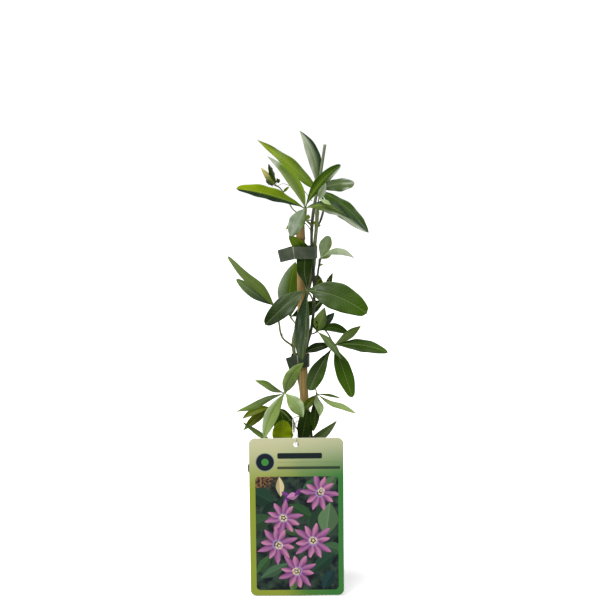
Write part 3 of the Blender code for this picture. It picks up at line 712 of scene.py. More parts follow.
LEAVES = [
    dict(
        name="leaf_crown_front", hub=(9, -18, 361.5), facing=(0.1, -0.85, 0.5),
        stalk=("vine_long", 345, [(10, -12, 351)]), thick=1.15,
        lobes=[
            lobe((-63, -16, 19), 20, "grass", "lime", bow=(0, 0, 3.6), round=0.5, fold=(-10, 4),
                halves=(0.56, 0.74), left="shade", sharp=0.2),
            lobe((-35, 2, 48), 11.5, "spring", "fern", bow=(6.4, -1, 1), peak=0.5, fold=(10, 4),
                left="sage", right="meadow", tip_tone="silver_and_sheen"),
            lobe((33, 8, 40), 11, "grass", "moss", bow=(-4, 0, 2), round=0.5, peak=0.6, fold=(12, -10),
                left="moss", right="moss", sharp=0.5, rim=("right", "silver_and_sheen"), rim_from=0.6),
            lobe((42, -12, -10), 12, "spring", "shade", bow=(0, 0, 7), fold=(10, -30), left="shade",
                rim=("right", "silver_and_sheen"), rim_from=0.35),
            lobe((-13, -14, -25), 15, "frost", bow=(-1.2, -3, 0), peak=0.5, round=0.55, fold=(-6, 8),
                left="fern", gleam=(0.7, 0.5, 1, None)),
        ],
    ),
    dict(
        name="leaf_crown_back", hub=(20, 11, 377.5), facing=(0.1, -0.75, 0.6),
        stalk=("vine_short", 344, [(24.5, 12, 371), (27.4, 12, 365), (26, 10, 357), (23.4, 7.6, 348.5)]),
        woody=True, thick=1.05,
        lobes=[
            lobe((-55, -31, 47), 17, "meadow", "lime", bow=(1, 0, 2), peak=0.4, fold=(6, -8),
                right="grass"),
            lobe((-16, 13, 55), 14, "fern", "silver_and_sheen", bow=(5, 0, 2), fold=(20, 8), left="silver_and_sheen",
                right="shade", sharp=0.5),
            lobe((35.5, 3, 6), 15.5, "slate", "fern", bow=(0, 0, 2), round=0.45, peak=0.6,
                fold=(-14, -12), left="slate", gleam=(0.9, 0.62, 1, None)),
            lobe((48, -25, -39), 20, "leafy", "shade", bow=(2, 0, 4.8), round=0.7, fold=(-16, -24),
                halves=(0.74, 1.14), left="moss", rim=("right", "silver_and_sheen"), rim_from=0.5,
                gleam=(0.3, 0.75, 1, "right")),
        ],
    ),
    dict(
        name="leaf_young_crown", hub=(22, -24, 370.8), facing=(0.3, -0.8, 0.5),
        stalk=("vine_short", 356, [(21.8, -17, 371.2), (21.2, -9, 367.5), (20.8, -4, 361)]),
        lobes=[
            lobe((6, -3, 14.5), 7, "pale", "silver_and_sheen", peak=0.36, right="silver_and_sheen"),
            lobe((10.5, -8, -5.5), 5, "pale", "sage"),
        ],
    ),
    dict(
        name="leaf_young_right", hub=(23, -4, 313.5), facing=(0.2, -0.9, 0.3),
        stalk=("vine_long", 293, [(21.5, -1.5, 304), (20.5, 0, 297)]), woody=True, thick=1.05,
        lobes=[
            lobe((8, -4, 22), 12, "pale", round=0.5, peak=0.6, fold=(10, -6), right="sage"),
            lobe((32, -8, 1), 7, "pale", "silver_and_sheen", bow=(0, 0, 7), fold=(-10, -14)),
            lobe((11, 8, 4), 5, "spring", "sage"),
        ],
    ),
    dict(
        name="leaf_middle_front", hub=(10, -17, 285.5), facing=(0, -0.95, 0.3),
        stalk=("vine_long", 272, [(14, -10, 280)]),
        lobes=[
            lobe((-16, 9.8, 50.5), 16, "deep", "moss", bow=(6.5, 3.6, 0), sway=-3, peak=0.54, round=0.6,
                fold=(-3, -6), rim=("right", "lime"), rim_from=0.74, tip_tone="grass"),
            lobe((56, -16, -20), 26, "slate", "leafy", bow=(0, 0, 5), round=0.42, peak=0.52, fold=(8, -4),
                gleam=(0.22, 0.05, 0.25, None)),
            lobe((-38, -14, -31), 18, "slate", "deep", bow=(2, 0, 4), round=0.45, peak=0.6, fold=(6, 4),
                gleam=(0.14, 0.05, 0.6, None)),
            lobe((-4, -6, -65), 21, "shade", "slate", bow=(1.5, -3, 0), round=0.5, fold=(10, 4),
                halves=(0.36, 1), left="slate", gleam=(0.16, 0.3, 0.9, None)),
        ],
    ),
    dict(
        name="leaf_middle_back", hub=(-5, 9, 257.5), facing=(-0.1, -0.9, 0.3),
        stalk=("vine_short", 250, []),
        lobes=[
            lobe((5, 5, 52), 24, "moss", "grass", bow=(-3, 0, 0), peak=0.46, fold=(-12, 6), left="frost",
                sharp=0.9),
            lobe((32, 7, 14), 14, "moss", bow=(0, 3, -1)),
        ],
    ),
    dict(
        name="leaf_left", hub=(-20, -6, 269.5), facing=(-0.2, -0.8, 0.5),
        stalk=("vine_short", 231, [(-15.6, -6, 254), (-14.3, -5, 245), (-11.5, -3, 238)]), thick=0.95,
        lobes=[
            lobe((-43, -16, 48), 9, "spring", "sage", bow=(1, 0, 0), sway=1.6, peak=0.42, round=0.5,
                fold=(-6, 6)),
            lobe((-36, 14, 24), 11, "shade", "fern", bow=(0, 0, -1), round=0.6, fold=(6, 6)),
        ],
    ),
    dict(
        name="leaf_right", hub=(36, -8, 232.5), facing=(0.2, -0.85, 0.5),
        stalk=("vine_long", 254, [(30, -2, 243.5), (22, 3, 251)]),
        lobes=[
            lobe((50, -14, -5), 13, "moss", "leafy", bow=(0, 0, 4), round=0.6, fold=(-8, -20),
                rim=("right", "slate")),
            lobe((17, -16, -47), 16, "moss", "leafy", bow=(0, 0, 1.6), peak=0.56, round=0.5,
                fold=(8, -6)),
            lobe((-23, -18, -40), 15, "deep", "slate", bow=(-2, 0, 0), round=0.4, peak=0.66, fold=(6, 6),
                left="moss"),
            lobe((-29, -2, -7), 9, "deep", bow=(0, 0, 2)),
            lobe((25, -6, 19), 8.5, "fern", "spring", fold=(-10, -10)),
        ],
    ),
    dict(
        name="leaf_right_small", hub=(20, -8, 245.5), facing=(0.1, -0.9, 0.4),
        stalk=("vine_long", 242, [(17, -3, 243)]),
        lobes=[
            lobe((7.5, 4, 22.5), 12, "spring", "sage", peak=0.4, fold=(8, -10), right="fern"),
            lobe((31, 7, -4), 9, "moss", bow=(0, 2, 5), rim=("right", "slate")),
            lobe((23, -18, -24), 7.5, "fern", "slate", bow=(0, 0, 3), fold=(-8, -16)),
            lobe((17, 18, 16), 8, "shade"),
            lobe((-4, 2, 13), 6, "deep", round=0.6),
        ],
    ),
    dict(
        name="leaf_right_slender", hub=(25, 7.5, 273.5), facing=(0, -0.9, 0.3),
        stalk=("vine_long", 268, []),
        lobes=[
            lobe((10, 2, 26), 6, "deep", "slate"),
            lobe((-5, 0, 24), 9, "gold", "moss", round=0.45, peak=0.62),
        ],
    ),
    dict(
        name="leaf_low_left", hub=(-10, -22, 189.5), facing=(0, -0.9, 0.4),
        stalk=("vine_short", 206, [(-4, -10, 195), (-1, -2, 201)]),
        lobes=[
            lobe((17.5, -4, 29), 13, "fern", "spring", bow=(-1.8, 0, 2), peak=0.42, left="sage"),
            lobe((-28, 8, 11), 7, "slate", "spring", bow=(0, 0, -0.4), sway=-1),
            lobe((-45, -4, -17), 7, "slate", "spring", fold=(-8, -8), sway=1),
            lobe((-19, -14, -41), 13, "spring", "sage", bow=(-3, 0, 0), peak=0.5, right="pale"),
            lobe((17, -12, -21), 14, "sage", "fern", bow=(1, 0, 1), left="pale"),
        ],
    ),
    dict(
        name="leaf_low_left_back", hub=(-22, -4, 172.5), facing=(0, -0.85, 0.5),
        stalk=("vine_short", 150, [(-14, 0, 169), (-5, 2, 160)]),
        lobes=[
            lobe((-28, -8, -9), 8, "olive", bow=(0, 0, 3)),
            lobe((-27, -2, -21), 9, "olive", bow=(0, 0, 2)),
        ],
    ),
    dict(
        name="leaf_base_bright", hub=(-14, -17, 135.5), facing=(0, -0.95, 0.3),
        stalk=("vine_short", 116, [(-9, -9, 128), (-2, -2, 121)]),
        lobes=[
            lobe((3, -4, 28), 19, "lime", "gold", round=0.45, fold=(5, 5)),
            lobe((-36, 4, 25), 5, "spring", "slate"),
        ],
    ),
    dict(
        name="leaf_base_dark", hub=(-5, 8, 135.5), facing=(-0.1, -0.9, 0.3),
        stalk=("vine_short", 122, [(-3.5, 7, 129)]),
        lobes=[
            lobe((-10, 0, 34), 20.6, "moss", round=0.5),
        ],
    ),
    dict(
        name="leaf_base_right", hub=(5, -9.5, 137.5), facing=(0, -0.95, 0.2),
        stalk=("vine_long", 120, [(13, -8, 130), (18, -3, 124)]),
        lobes=[
            lobe((6, 1, 34), 18, "deep", "moss", round=0.5, halves=(0.75, 1)),
            lobe((34, 4, 23), 9, "slate", "fern", bow=(0, 0, -4)),
        ],
    ),
    dict(
        name="leaf_low_right", hub=(20, -10, 186.5), facing=(0.1, -0.85, 0.4),
        stalk=("vine_long", 193, [(19, -5, 190), (16.5, 2.5, 191.8)]),
        lobes=[
            lobe((37, -14, -16), 6, "sage", bow=(0, 0, -1), sway=1.2, fold=(-8, -8)),
            lobe((23, 12, -6), 2.8, "spring", bow=(0, 0, 1)),
            lobe((3.2, -10, -19), 8, "pale", "sage", sway=1),
            lobe((-14, -5, -15), 8, "olive", "moss"),
            lobe((-3, -3, -35), 9, "deep", "moss"),
        ],
    ),
    dict(
        name="leaf_tiny", hub=(-2, -6, 349), facing=(0, -0.9, 0.4),
        stalk=("vine_long", 340, [(4, -6.5, 350), (11, -3, 345)]),
        lobes=[
            lobe((-7, -1, -8), 3.4, "lime"),
        ],
    ),
]


def plus(tree, first, second):
    return maths(tree, "ADD", first, second)


def minus(tree, first, second):
    return maths(tree, "SUBTRACT", first, second)


def over(tree, first, second):
    return maths(tree, "DIVIDE", first, second)


def make_vein_group():
    """A pale midrib, side veins that sweep towards the tip, and a thin margin.

    Blade is (distance from the midrib, distance from the hub, half width), in millimetres."""
    tree, given, out = new_group(
        "leaf veins",
        [("Blade", "Vector", (0, 0, 0)), ("Midrib Width", "Float", 0.24), ("Vein Spacing", "Float", 3.4)],
        [("Midrib", "Float"), ("Veins", "Float"), ("Margin", "Float")],
    )
    split = parts_of(tree, given[0])
    across = maths(tree, "ABSOLUTE", split[0])
    taper = times(tree, given[1], soft_step(tree, split[2], 0.0, 6.0))
    midrib = soft_step(tree, over(tree, across, plus(tree, taper, 0.1)), 1.0, 0.35)
    wander = noise_at(tree, given[0], 0.35, 1)
    swept = minus(tree, split[1], times(tree, across, 0.75))
    swept = plus(tree, swept, times(tree, wander, 1.6))
    phase = maths(tree, "FRACT", over(tree, swept, given[2]))
    ridge = maths(tree, "ABSOLUTE", minus(tree, phase, 0.5))
    share = over(tree, across, plus(tree, split[2], 0.01))
    fading = soft_step(tree, share, 0.95, 0.35)
    tree.links.new(midrib, out[0])
    tree.links.new(times(tree, soft_step(tree, ridge, 0.09, 0.0), fading), out[1])
    tree.links.new(soft_step(tree, share, 0.93, 1.0), out[2])
    return tree


LEAF_VEINS = make_vein_group()


def leaf_finish(name, underside):
    """The waxy upper face of a leaf, or its matt underside, in the colour its lobes carry."""
    made, tree = new_material(name)
    blade, tone = carried(tree, "blade", "Vector"), carried(tree, "tone", "Color")
    veins = placed_group(tree, LEAF_VEINS, {"Blade": blade})
    mottle = mottled(tree, 90, 1400)
    if underside:
        tone = mixed(tree, 0.55, tone, colour(150, 168, 140))
    dark = vector_maths(tree, "MULTIPLY", tone, (0.74, 0.8, 0.7))
    uneven = soft_step(tree, noise_at(tree, blade, 0.7, 2), 0.3, 0.7)
    uneven = plus(tree, times(tree, uneven, 0.5), times(tree, mottle["Patches"], 0.5))
    pale = mixed(tree, 0.4, tone, colour(186, 196, 128))
    face = mixed(tree, uneven, dark, tone)
    face = mixed(tree, times(tree, veins["Veins"], 0.2), face, pale)
    face = mixed(tree, times(tree, veins["Margin"], 0.35), face, pale)
    spots = node(tree, "ShaderNodeTexVoronoi", {"Vector": blade, "Scale": 0.16}).outputs
    few = soft_step(tree, parts_of(tree, spots["Color"])[0], 0.8, 0.82)
    dust = times(tree, soft_step(tree, spots["Distance"], 0.075, 0.045), few)
    face = mixed(tree, times(tree, dust, 0.7), face, colour(206, 212, 190))
    # Painted sheen: where a lobe carries gleam, pale streaks along it stand in for the shine of its waxy
    # gloss.
    streaks = noise_at(tree, drawn_out(tree, blade, (1, 0.16, 0)), 0.34, 4)
    painted_sheen = times(tree, soft_step(tree, streaks, 0.36, 0.74), carried(tree, "gleam"))
    face = mixed(tree, times(tree, painted_sheen, 0.8), face, colour(204, 212, 202))
    smoothest, roughest = (0.55, 0.7) if underside else (0.34, 0.46)
    set_shader(
        tree,
        Base_Color=mixed(tree, times(tree, veins["Midrib"], 0.5), face, pale),
        Roughness=varied(tree, mottle["Patches"], smoothest, roughest),
        Specular_IOR_Level=0.06 if underside else 0.1,
        Normal=bumped(tree, plus(tree, times(tree, veins["Veins"], -0.6), mottle["Grain"]), 0.1),
    )
    return made


LEAF_UPPER = leaf_finish("leaf upper face", False)
LEAF_UNDER = leaf_finish("leaf underside", True)


def tone_of(name):
    return np.array(colour(*GREENS[name])[:3])


def kept(value):
    """A value held between 0 and 1."""
    return min(1, max(0, value))


def half_width(share, shape):
    """Half a lobe's width at a share of its length: a short neck, a full middle and a drawn-out tip."""
    stretch = math.log(0.5) / math.log(shape.get("peak", 0.55))
    power = 1.1 * (1 - share) + shape.get("round", 0.9) * share
    full = max(0.0, math.sin(math.pi * share**stretch)) ** power
    neck = 0.5 * (1 - share) if share < 0.3 else 0
    return max(shape["width"] / 2 * full, neck, 0.04)


def blade_layers(bm):
    """What each point of a leaf carries: its place on the blade, its colour and its painted sheen."""
    points = bm.verts.layers
    return points.float_vector.new("blade"), points.float_color.new("tone"), points.float.new("gleam")


def along_lobe(hub, facing, shape, u):
    """A lobe's midrib at a share of its length: its place, the way the lobe faces and its right side."""
    reach, bow = Vector(shape["reach"]), Vector(shape.get("bow", (0, 0, 0)))
    control = reach / 2 + 2 * bow
    tangent = ((1 - u) * control + u * (reach - control)).normalized()
    normal = (facing - facing.dot(tangent) * tangent).normalized()
    side = tangent.cross(normal)
    sway = shape.get("sway", 0) * math.sin(2 * math.pi * u) * math.sin(math.pi * u)
    return hub + 2 * u * (1 - u) * control + u * u * reach + side * sway, normal, side


def lobe_tone(shape, u, v):
    """A lobe's colour at a share of its length, and of its half width, which is below 0 on the left."""
    side, out = "right" if v > 0 else "left", abs(v)
    tone = tone_of(shape["base"])
    layers = [(shape["tip"], kept((u - 0.1) / 0.8) ** 1.6)]
    # A half in the shade tone is painted shade; on older leaves, a half, rim or tip in the silver tone is a
    # painted reflection.
    if side in shape:
        layers.append((shape[side], kept((out - 0.12) / shape.get("sharp", 0.6))))
    rim_side, rim_tone = shape.get("rim", (None, None))
    if rim_side == side:
        layers.append((rim_tone, kept((out - 0.45) / 0.3) * kept((u - shape.get("rim_from", 0)) * 4)))
    if "tip_tone" in shape:
        layers.append((shape["tip_tone"], kept((u - 0.78) / 0.08)))
    for name, share in layers:
        tone = tone + (tone_of(name) - tone) * share
    return (*tone, 1)


def lobe_gleam(shape, u, v):
    """How bright a lobe's painted sheen, a streaky pale highlight, is there."""
    strength, low, high, bright_side = shape.get("gleam", (0, 0, 1, None))
    if bright_side not in (None, "right" if v > 0 else "left"):
        return 0
    return strength * kept((u - low) / 0.15) * kept((high + 0.15 - u) / 0.15)


def fill_rows(bm, rows):
    """Adds the faces of a sheet between its rows of points."""
    for low, high in zip(rows, rows[1:]):
        for corners in zip(low, low[1:], high[1:], high):
            bm.faces.new(corners)


def add_lobe(bm, layers, hub, facing, shape, seed):
    """Adds the upper skin of one lobe to the leaf, with its colours and its place on the blade."""
    folds = [math.radians(f) for f in shape.get("fold", (12, 12))]
    halves = shape.get("halves", (1, 1))
    length = Vector(shape["reach"]).length
    random = np.random.default_rng(seed)
    waves, phase = random.uniform(2.2, 3.6), random.uniform(0, 6.28, 2)
    rows = []
    for row in range(LOBE_ROWS + 1):
        u = (row / LOBE_ROWS) ** 0.92
        place, normal, side = along_lobe(hub, facing, shape, u)
        half = half_width(u, shape)
        line = []
        for column in range(LOBE_COLUMNS + 1):
            v = 2 * column / LOBE_COLUMNS - 1
            v = math.copysign(abs(v) ** 1.15, v)
            right = int(v > 0)
            x = v * half * halves[right]
            fold = folds[right] * min(1, abs(x) / 0.8)
            wave = MARGIN_WAVE * shape["width"] * v * v * math.sin(6.28 * waves * u + phase[right])
            groove = GROOVE_DEPTH * math.exp(-((x / GROOVE_WIDTH) ** 2)) * min(1, half / 2)
            up = abs(x) * math.sin(fold) + wave * math.sin(math.pi * u) - groove
            vert = bm.verts.new(place + side * x * math.cos(fold) + normal * up)
            vert[layers[0]] = (x, u * length, half)
            vert[layers[1]] = lobe_tone(shape, u, v)
            vert[layers[2]] = lobe_gleam(shape, u, v)
            line.append(vert)
        rows.append(line)
    fill_rows(bm, rows)


def thicken(piece, thickness, offset=-1, back=0, rim=0):
    """Gives a sheet its thickness. back and rim say how many materials on its new faces are."""
    wall = piece.modifiers.new("thickness", "SOLIDIFY")
    wall.thickness = thickness * MM
    wall.offset = offset
    wall.material_offset = back
    wall.material_offset_rim = rim


def new_blade(name, bm, replaces=(), thickness=BLADE_THICKNESS):
    """A leafy piece from its upper skin, which gets a thickness and a matt underside."""
    blade = new_piece(name, mesh_from(name, bm), [LEAF_UPPER, LEAF_UNDER], replaces)
    thicken(blade, thickness, back=1)
    baked(blade)
    blade.data.materials.clear()
    for finish in (LEAF_UPPER, LEAF_UNDER):
        blade.data.materials.append(finish)


def rib_path(hub, facing, shape):
    """The raised rib under one lobe, and its radius along the way."""
    path, radii = [], []
    for step in range(25):
        u = step / 24 * 0.94
        place, normal = along_lobe(hub, facing, shape, u)[:2]
        radius = (0.14 + 0.016 * shape["width"]) * (1 - 0.8 * u)
        path.append(place - normal * (BLADE_THICKNESS + 0.22 + 0.25 * radius))
        radii.append(radius)
    return path, radii


def leaf_stalk_path(leaf):
    """The stalk, from the hub to the stem it grows on."""
    vine, height, via = leaf["stalk"]
    hub = Vector(leaf["hub"])
    last = Vector(via[-1]) if via else hub
    end = beside_vine(vine, height, last, 0.3)
    root = vine_at(vine, height)
    return smooth_path([hub, *via, end], 8) + [end.lerp(root, 0.5)]


def make_leaf(leaf, seed):
    hub, facing = Vector(leaf["hub"]), Vector(leaf["facing"]).normalized()
    bm = bmesh.new()
    layers = blade_layers(bm)
    for index, shape in enumerate(leaf["lobes"]):
        add_lobe(bm, layers, hub + facing * 0.05 * index, facing, shape, seed * 10 + index)
    new_blade(leaf["name"] + "_blade", bm, [leaf["name"]])

    bm = bmesh.new()
    widest = max(shape["width"] for shape in leaf["lobes"])
    for shape in leaf["lobes"]:
        sweep(bm, *rib_path(hub, facing, shape), 8)
    path = leaf_stalk_path(leaf)
    thick = leaf.get("thick", STALK_RADIUS * min(1, 0.45 + widest / 24))
    radii = [thick * (1 + 0.5 * max(0, 1 - 0.25 * index)) for index in range(len(path))]
    radii[-2:] = [thick * 1.5, thick * 1.2]
    for face in sweep(bm, path, radii, 12):
        face.material_index = int("woody" in leaf)
    skins = [GREEN_STALK, VINE_SKINS["vine_long"]]
    new_piece(leaf["name"] + "_stalk", mesh_from(leaf["name"] + "_stalk", bm), skins)


for number, leaf in enumerate(LEAVES):
    make_leaf(leaf, number + 1)
for vine_name in VINES:
    make_stem(vine_name, [leaf["stalk"][1] for leaf in LEAVES if leaf["stalk"][0] == vine_name])


# ---------------------------------------------------------------- flower bud
# One closed bud on a wiry stalk. Its outer petals are wrapped round each other to a point, cream at the
# tip and green at the foot, and three small leafy bracts stand round it.

BUD_ROOT = Vector((-19.5, -4, 382.8))
BUD_TIP = Vector((-32.2, -7, 399))
BUD_RADIUS = 3.6
BUD_STALK_RADIUS = 0.6
BUD_LAYERS = 5  # the folds where one wrapped petal's edge lies on the next
BUD_WRAP = 0.9  # and how far, in radians, they wind up the bud
BRACT_FOOT_INSET = 0.65  # a bract's foot stands this far inside the bud's widest circle
BRACT_OPEN = 1.4  # and its tip this much further out than its lean
# Each bract: its letter, the angle where it stands round the bud, its length, its width and its lean.
BRACTS = [("a", 70, 11, 6, 1.5), ("b", 190, 9, 5.4, 1), ("c", 280, 20, 8, 6.4)]


def bud_skin():
    made, tree = new_material("bud skin")
    mottle = mottled(tree, 260, 1800)
    uneven = plus(tree, carried(tree, "along"), times(tree, mottle["Patches"], 0.16))
    cream = mixed(tree, mottle["Patches"], colour(196, 190, 96), colour(222, 206, 150))
    set_shader(
        tree,
        Base_Color=mixed(tree, soft_step(tree, uneven, 0.36, 0.9), colour(128, 146, 46), cream),
        Roughness=0.5,
        Normal=bumped(tree, mottle["Grain"], 0.08),
    )
    return made


def make_bud():
    axis = BUD_TIP - BUD_ROOT
    length = axis.length
    outline = [(0, 0), (0.45, 0.02), (0.8, 0.09), (0.97, 0.2), (1, 0.32), (0.92, 0.46), (0.74, 0.62)]
    outline += [(0.5, 0.77), (0.27, 0.89), (0.1, 0.97), (0, 1)]
    knots = smooth_path([(radius * BUD_RADIUS, 0, height * length) for radius, height in outline], 4)
    bm = turned([(max(p.x, 0), p.z) for p in knots], 50)
    along = bm.verts.layers.float.new("along")
    for vert in bm.verts:
        share = vert.co.z / length
        angle = math.atan2(vert.co.y, vert.co.x) + BUD_WRAP * share
        wrap = abs(math.sin(BUD_LAYERS / 2 * angle)) ** 0.5 * math.sin(math.pi * min(1, share + 0.1))
        vert.co.xy *= 0.97 - 0.06 * wrap
        vert[along] = share
    stand(bm, BUD_ROOT, BUD_TIP)
    new_piece("bud_petals", mesh_from("bud_petals", bm), [bud_skin()], ["flower_bud"])
    foot = BUD_ROOT - axis.normalized() * 0.1
    route = [foot, (-13, -3.5, 378), (-4, -1, 362), (1, -6, 357), (8, -6, 351)]
    end = beside_vine("vine_long", 349, route[-1], 0)
    path = smooth_path([*route, end], 8)
    radii = [BUD_STALK_RADIUS * (1 + 0.9 * math.exp(-0.4 * index)) for index in range(len(path))]
    bm = bmesh.new()
    sweep(bm, path, radii, 12)
    new_piece("bud_stalk_skin", mesh_from("bud_stalk_skin", bm), [GREEN_STALK], ["bud_stalk"])


def make_bract(letter, around, length, width, lean):
    """A cupped bract whose foot hugs the bud's and whose tip leans out by lean."""
    axis = (BUD_TIP - BUD_ROOT).normalized()
    out = Matrix.Rotation(math.radians(around), 3, axis) @ axis.orthogonal().normalized()
    reach = axis * length + out * (lean + BRACT_OPEN)
    shape = lobe(reach, width, "fern", "slate", bow=out * 0.9, fold=(-22, -22), left="moss")
    bm = bmesh.new()
    layers = blade_layers(bm)
    add_lobe(bm, layers, BUD_ROOT + out * (BUD_RADIUS - BRACT_FOOT_INSET), out, shape, around)
    name = "bud_bract_" + letter
    new_blade(name + "_blade", bm, [name])


make_bud()
for letter, *sizes in BRACTS:
    make_bract(letter, *sizes)


# ---------------------------------------------------------------- axil buds
# Where a leaf's stalk joins the stem, the stem carries a few narrow leaflets.
# They are soft, only a few millimetres long, and yellow-green because they are new.

AXIL_LEAFLETS = [
    ((-11.5, -4, 376), (5.4, -1.5, 5), 2.6, "grass", "lime"),
    ((-15.5, -4.5, 384.4), (-1.5, -1, 4.2), 4, "moss", "grass"),
    ((12.2, -6.5, 350.8), (-0.6, -1.5, 4.4), 3.4, "lime", "gold"),
    ((10.8, -8.5, 351), (-3.2, -1.5, 1), 2, "lime", "lime"),
    ((16, 1.2, 345), (3.2, -2, 4.4), 1.9, "grass", "lime"),
    ((20.8, 3, 343.4), (2.8, -1.4, 1.4), 1.6, "grass", "lime"),
    ((18, 1.5, 311), (0.6, -4.6, 2), 3.4, "pale", "lime"),
    ((21.8, -2, 307), (4, -1.5, 1.8), 2, "pale", "lime"),
    ((-12.4, -3.6, 240.4), (-1, -1.5, 3), 1.8, "grass", "lime"),
]


def make_axil_leaflets():
    bm = bmesh.new()
    layers = blade_layers(bm)
    for number, (foot, reach, width, base, tip) in enumerate(AXIL_LEAFLETS):
        shape = lobe(reach, width, base, tip, peak=0.45, fold=(16, 16))
        add_lobe(bm, layers, Vector(foot), Vector((0.1, -0.9, 0.4)).normalized(), shape, 700 + number)
    new_blade("axil_leaflets", bm, thickness=0.5)


make_axil_leaflets()


# ---------------------------------------------------------------- tendrils
# Thin wiry holdfasts that grow beside the leaf stalks and curl at their tips when they find nothing to
# hold. They have the leaf stalks' green skin.

TENDRIL_RADIUS = 0.3
TENDRILS = {
    "tendril_upper": [
        (15.5, 5.5, 367), (6, 4, 378.5), (-5, 1, 381.5), (-10, -4, 383.5), (-13, -6, 383.5),
        (-16.5, -5, 381.5),
    ],
    "tendril_middle": [
        (19.3, 2.4, 289), (21.5, 0.5, 292.5), (24.5, -1.5, 295), (28.5, -2.5, 295.4), (31.6, -2, 293.4),
        (32, -0.5, 291),
    ],
}
for tendril, route in TENDRILS.items():
    route = smooth_path(route, 10)
    thinning = [TENDRIL_RADIUS * (1.1 - 0.5 * index / len(route)) for index in range(len(route))]
    tendril_mesh = bmesh.new()
    sweep(tendril_mesh, route, thinning, 10)
    new_piece(tendril + "_curl", mesh_from(tendril, tendril_mesh), [GREEN_STALK], [tendril])


# ---------------------------------------------------------------- ties
# Two strips of dark green plastic binding tape, run round the cane and stems by a tying tool. The ends
# are pressed together and cut off as a short flat tail to the left.

TIE_WIDTH = 11.6
TIE_THICKNESS = 0.32
TIE_COLUMNS = 8
TIES = {
    "tie_upper": (319.5, [
        (-15.5, -9.3, 3.4), (-8, -8.9, 1.6), (-2.2, -8.6, 0.3), (-1, -9.5, 0), (3, -9.5, 0), (8, -9, 0),
        (13, -9.1, 0), (17, -6.8, 0), (19.8, -1.5, 0), (20.4, 4.5, 0), (18.6, 9.4, 0), (12, 9, 0),
        (4, 6.4, 0), (-1.2, 1, 0), (-5, -3.2, 0.3), (-8.5, -6.8, 1.2), (-11.5, -8.2, 2), (-15, -8.7, 3),
    ]),
    "tie_lower": (217, [
        (-7.6, -7.0, 2.6), (-3, -6.2, 1.1), (1.6, -5.6, 0.2), (2.7, -6.4, 0), (5, -6.4, 0), (8, -6.2, 0),
        (11.6, -4.4, 0), (12.9, 0, 0), (13, 6.6, 0), (10, 10.2, 0), (2, 9.8, 0), (-3, 6.5, 0),
        (-3.6, 1, 0), (-4.4, -4.6, 1.4), (-7.2, -6.0, 2.6),
    ]),
}


def tape_plastic():
    made, tree = new_material("binding tape")
    point = object_point(tree)
    brushed = noise_at(tree, drawn_out(tree, point, (1, 1, 9)), 260, 3)
    plain = mixed(tree, mottled(tree, 110, 1500)["Patches"], colour(62, 74, 55), colour(88, 98, 76))
    # Painted shade: the lower tie is the same tape, darkened below about 0.27 m for the shade it hangs in
    # under the leaves.
    lower = times(tree, soft_step(tree, parts_of(tree, point)[2], 0.28, 0.26), 0.6)
    plain = mixed(tree, lower, plain, colour(42, 58, 32))
    set_shader(
        tree,
        # Painted highlight: a pale line along the tape's fold stands in for light catching the bend.
        Base_Color=mixed(tree, times(tree, carried(tree, "painted_fold_highlight"), 0.7), plain, colour(186, 194, 172)),
        Roughness=varied(tree, brushed, 0.3, 0.5),
        Normal=bumped(tree, brushed, 0.12),
    )
    return made


def ease_edges(piece, width):
    """Rounds a piece's sharp edges."""
    edge = piece.modifiers.new("edge", "BEVEL")
    edge.width = width * MM
    edge.segments = 2
    edge.limit_method = "ANGLE"
    edge.angle_limit = math.radians(60)


def make_tie(name, height, route):
    """A tape along a route of (x, y, drop) at a height. The drop is how far it hangs below."""
    path = smooth_path(route, 8)
    bm = bmesh.new()
    fold_highlight_layer = bm.verts.layers.float.new("painted_fold_highlight")
    # The pale painted highlight line runs down the tape where it steps back at its fold.
    fold_at = next((p.x for p, q in zip(path, path[1:]) if q.y < p.y - 0.12 and abs(p.x) < 4), -99)
    rows = []
    for index, (x, y, drop) in enumerate(path):
        ripple = 0.12 * noise.noise(Vector((index * 0.3, height, 0)))
        before, after = path[max(index - 1, 0)], path[min(index + 1, len(path) - 1)]
        along = Vector((after.x - before.x, after.y - before.y, before.z - after.z)).normalized()
        cross = (Vector((0, 0, 1)) - along.z * along).normalized()
        line = []
        for column in range(TIE_COLUMNS + 1):
            share = column / TIE_COLUMNS - 0.5
            bulge = Vector((0, 0.07 - 0.28 * share * share + ripple, 0))
            vert = bm.verts.new(Vector((x, y, height - drop)) + bulge + cross * TIE_WIDTH * share)
            vert[fold_highlight_layer] = max(0, 1 - abs(x - fold_at) / 0.5) if y < -4 else 0
            line.append(vert)
        rows.append(line)
    fill_rows(bm, rows)
    tie = new_piece(name + "_tape", mesh_from(name, bm), [TAPE], [name])
    thicken(tie, TIE_THICKNESS, offset=0)
    ease_edges(tie, 0.08)
    baked(tie)
    tie.data.set_sharp_from_angle(angle=math.radians(50))


TAPE = tape_plastic()
for tie_name, (tie_height, tie_route) in TIES.items():
    make_tie(tie_name, tie_height, tie_route)


# ---------------------------------------------------------------- hang tag
# A thin plastic card with round corners that leans on the pot's rim. Its front is printed: a soft green
# border, a dark roundel, plain bars where a name would stand, and a picture of open passion flowers.

TAG_WIDTH = 87
TAG_HEIGHT = 151.5
TAG_CORNER = 5.5
TAG_THICKNESS = 0.6
TAG_HOLE_RADIUS = 2.3
TAG_HOLE_DROP = 6.2
TAG_FLOOR_GAP = 0.9
TAG_LEAN = math.radians(4.2)
TAG_TURN = math.radians(0.5)
TAG_RIM_GAP = 0.35
TAG_ARC_STEPS = 12


def tag_y(height):
    """The y of the tag's middle plane at a height: it leans on the rim's front."""
    face = -POT_RIM_RADIUS - TAG_RIM_GAP - TAG_THICKNESS / 2
    return face - (height - POT_HEIGHT) * math.tan(TAG_LEAN)


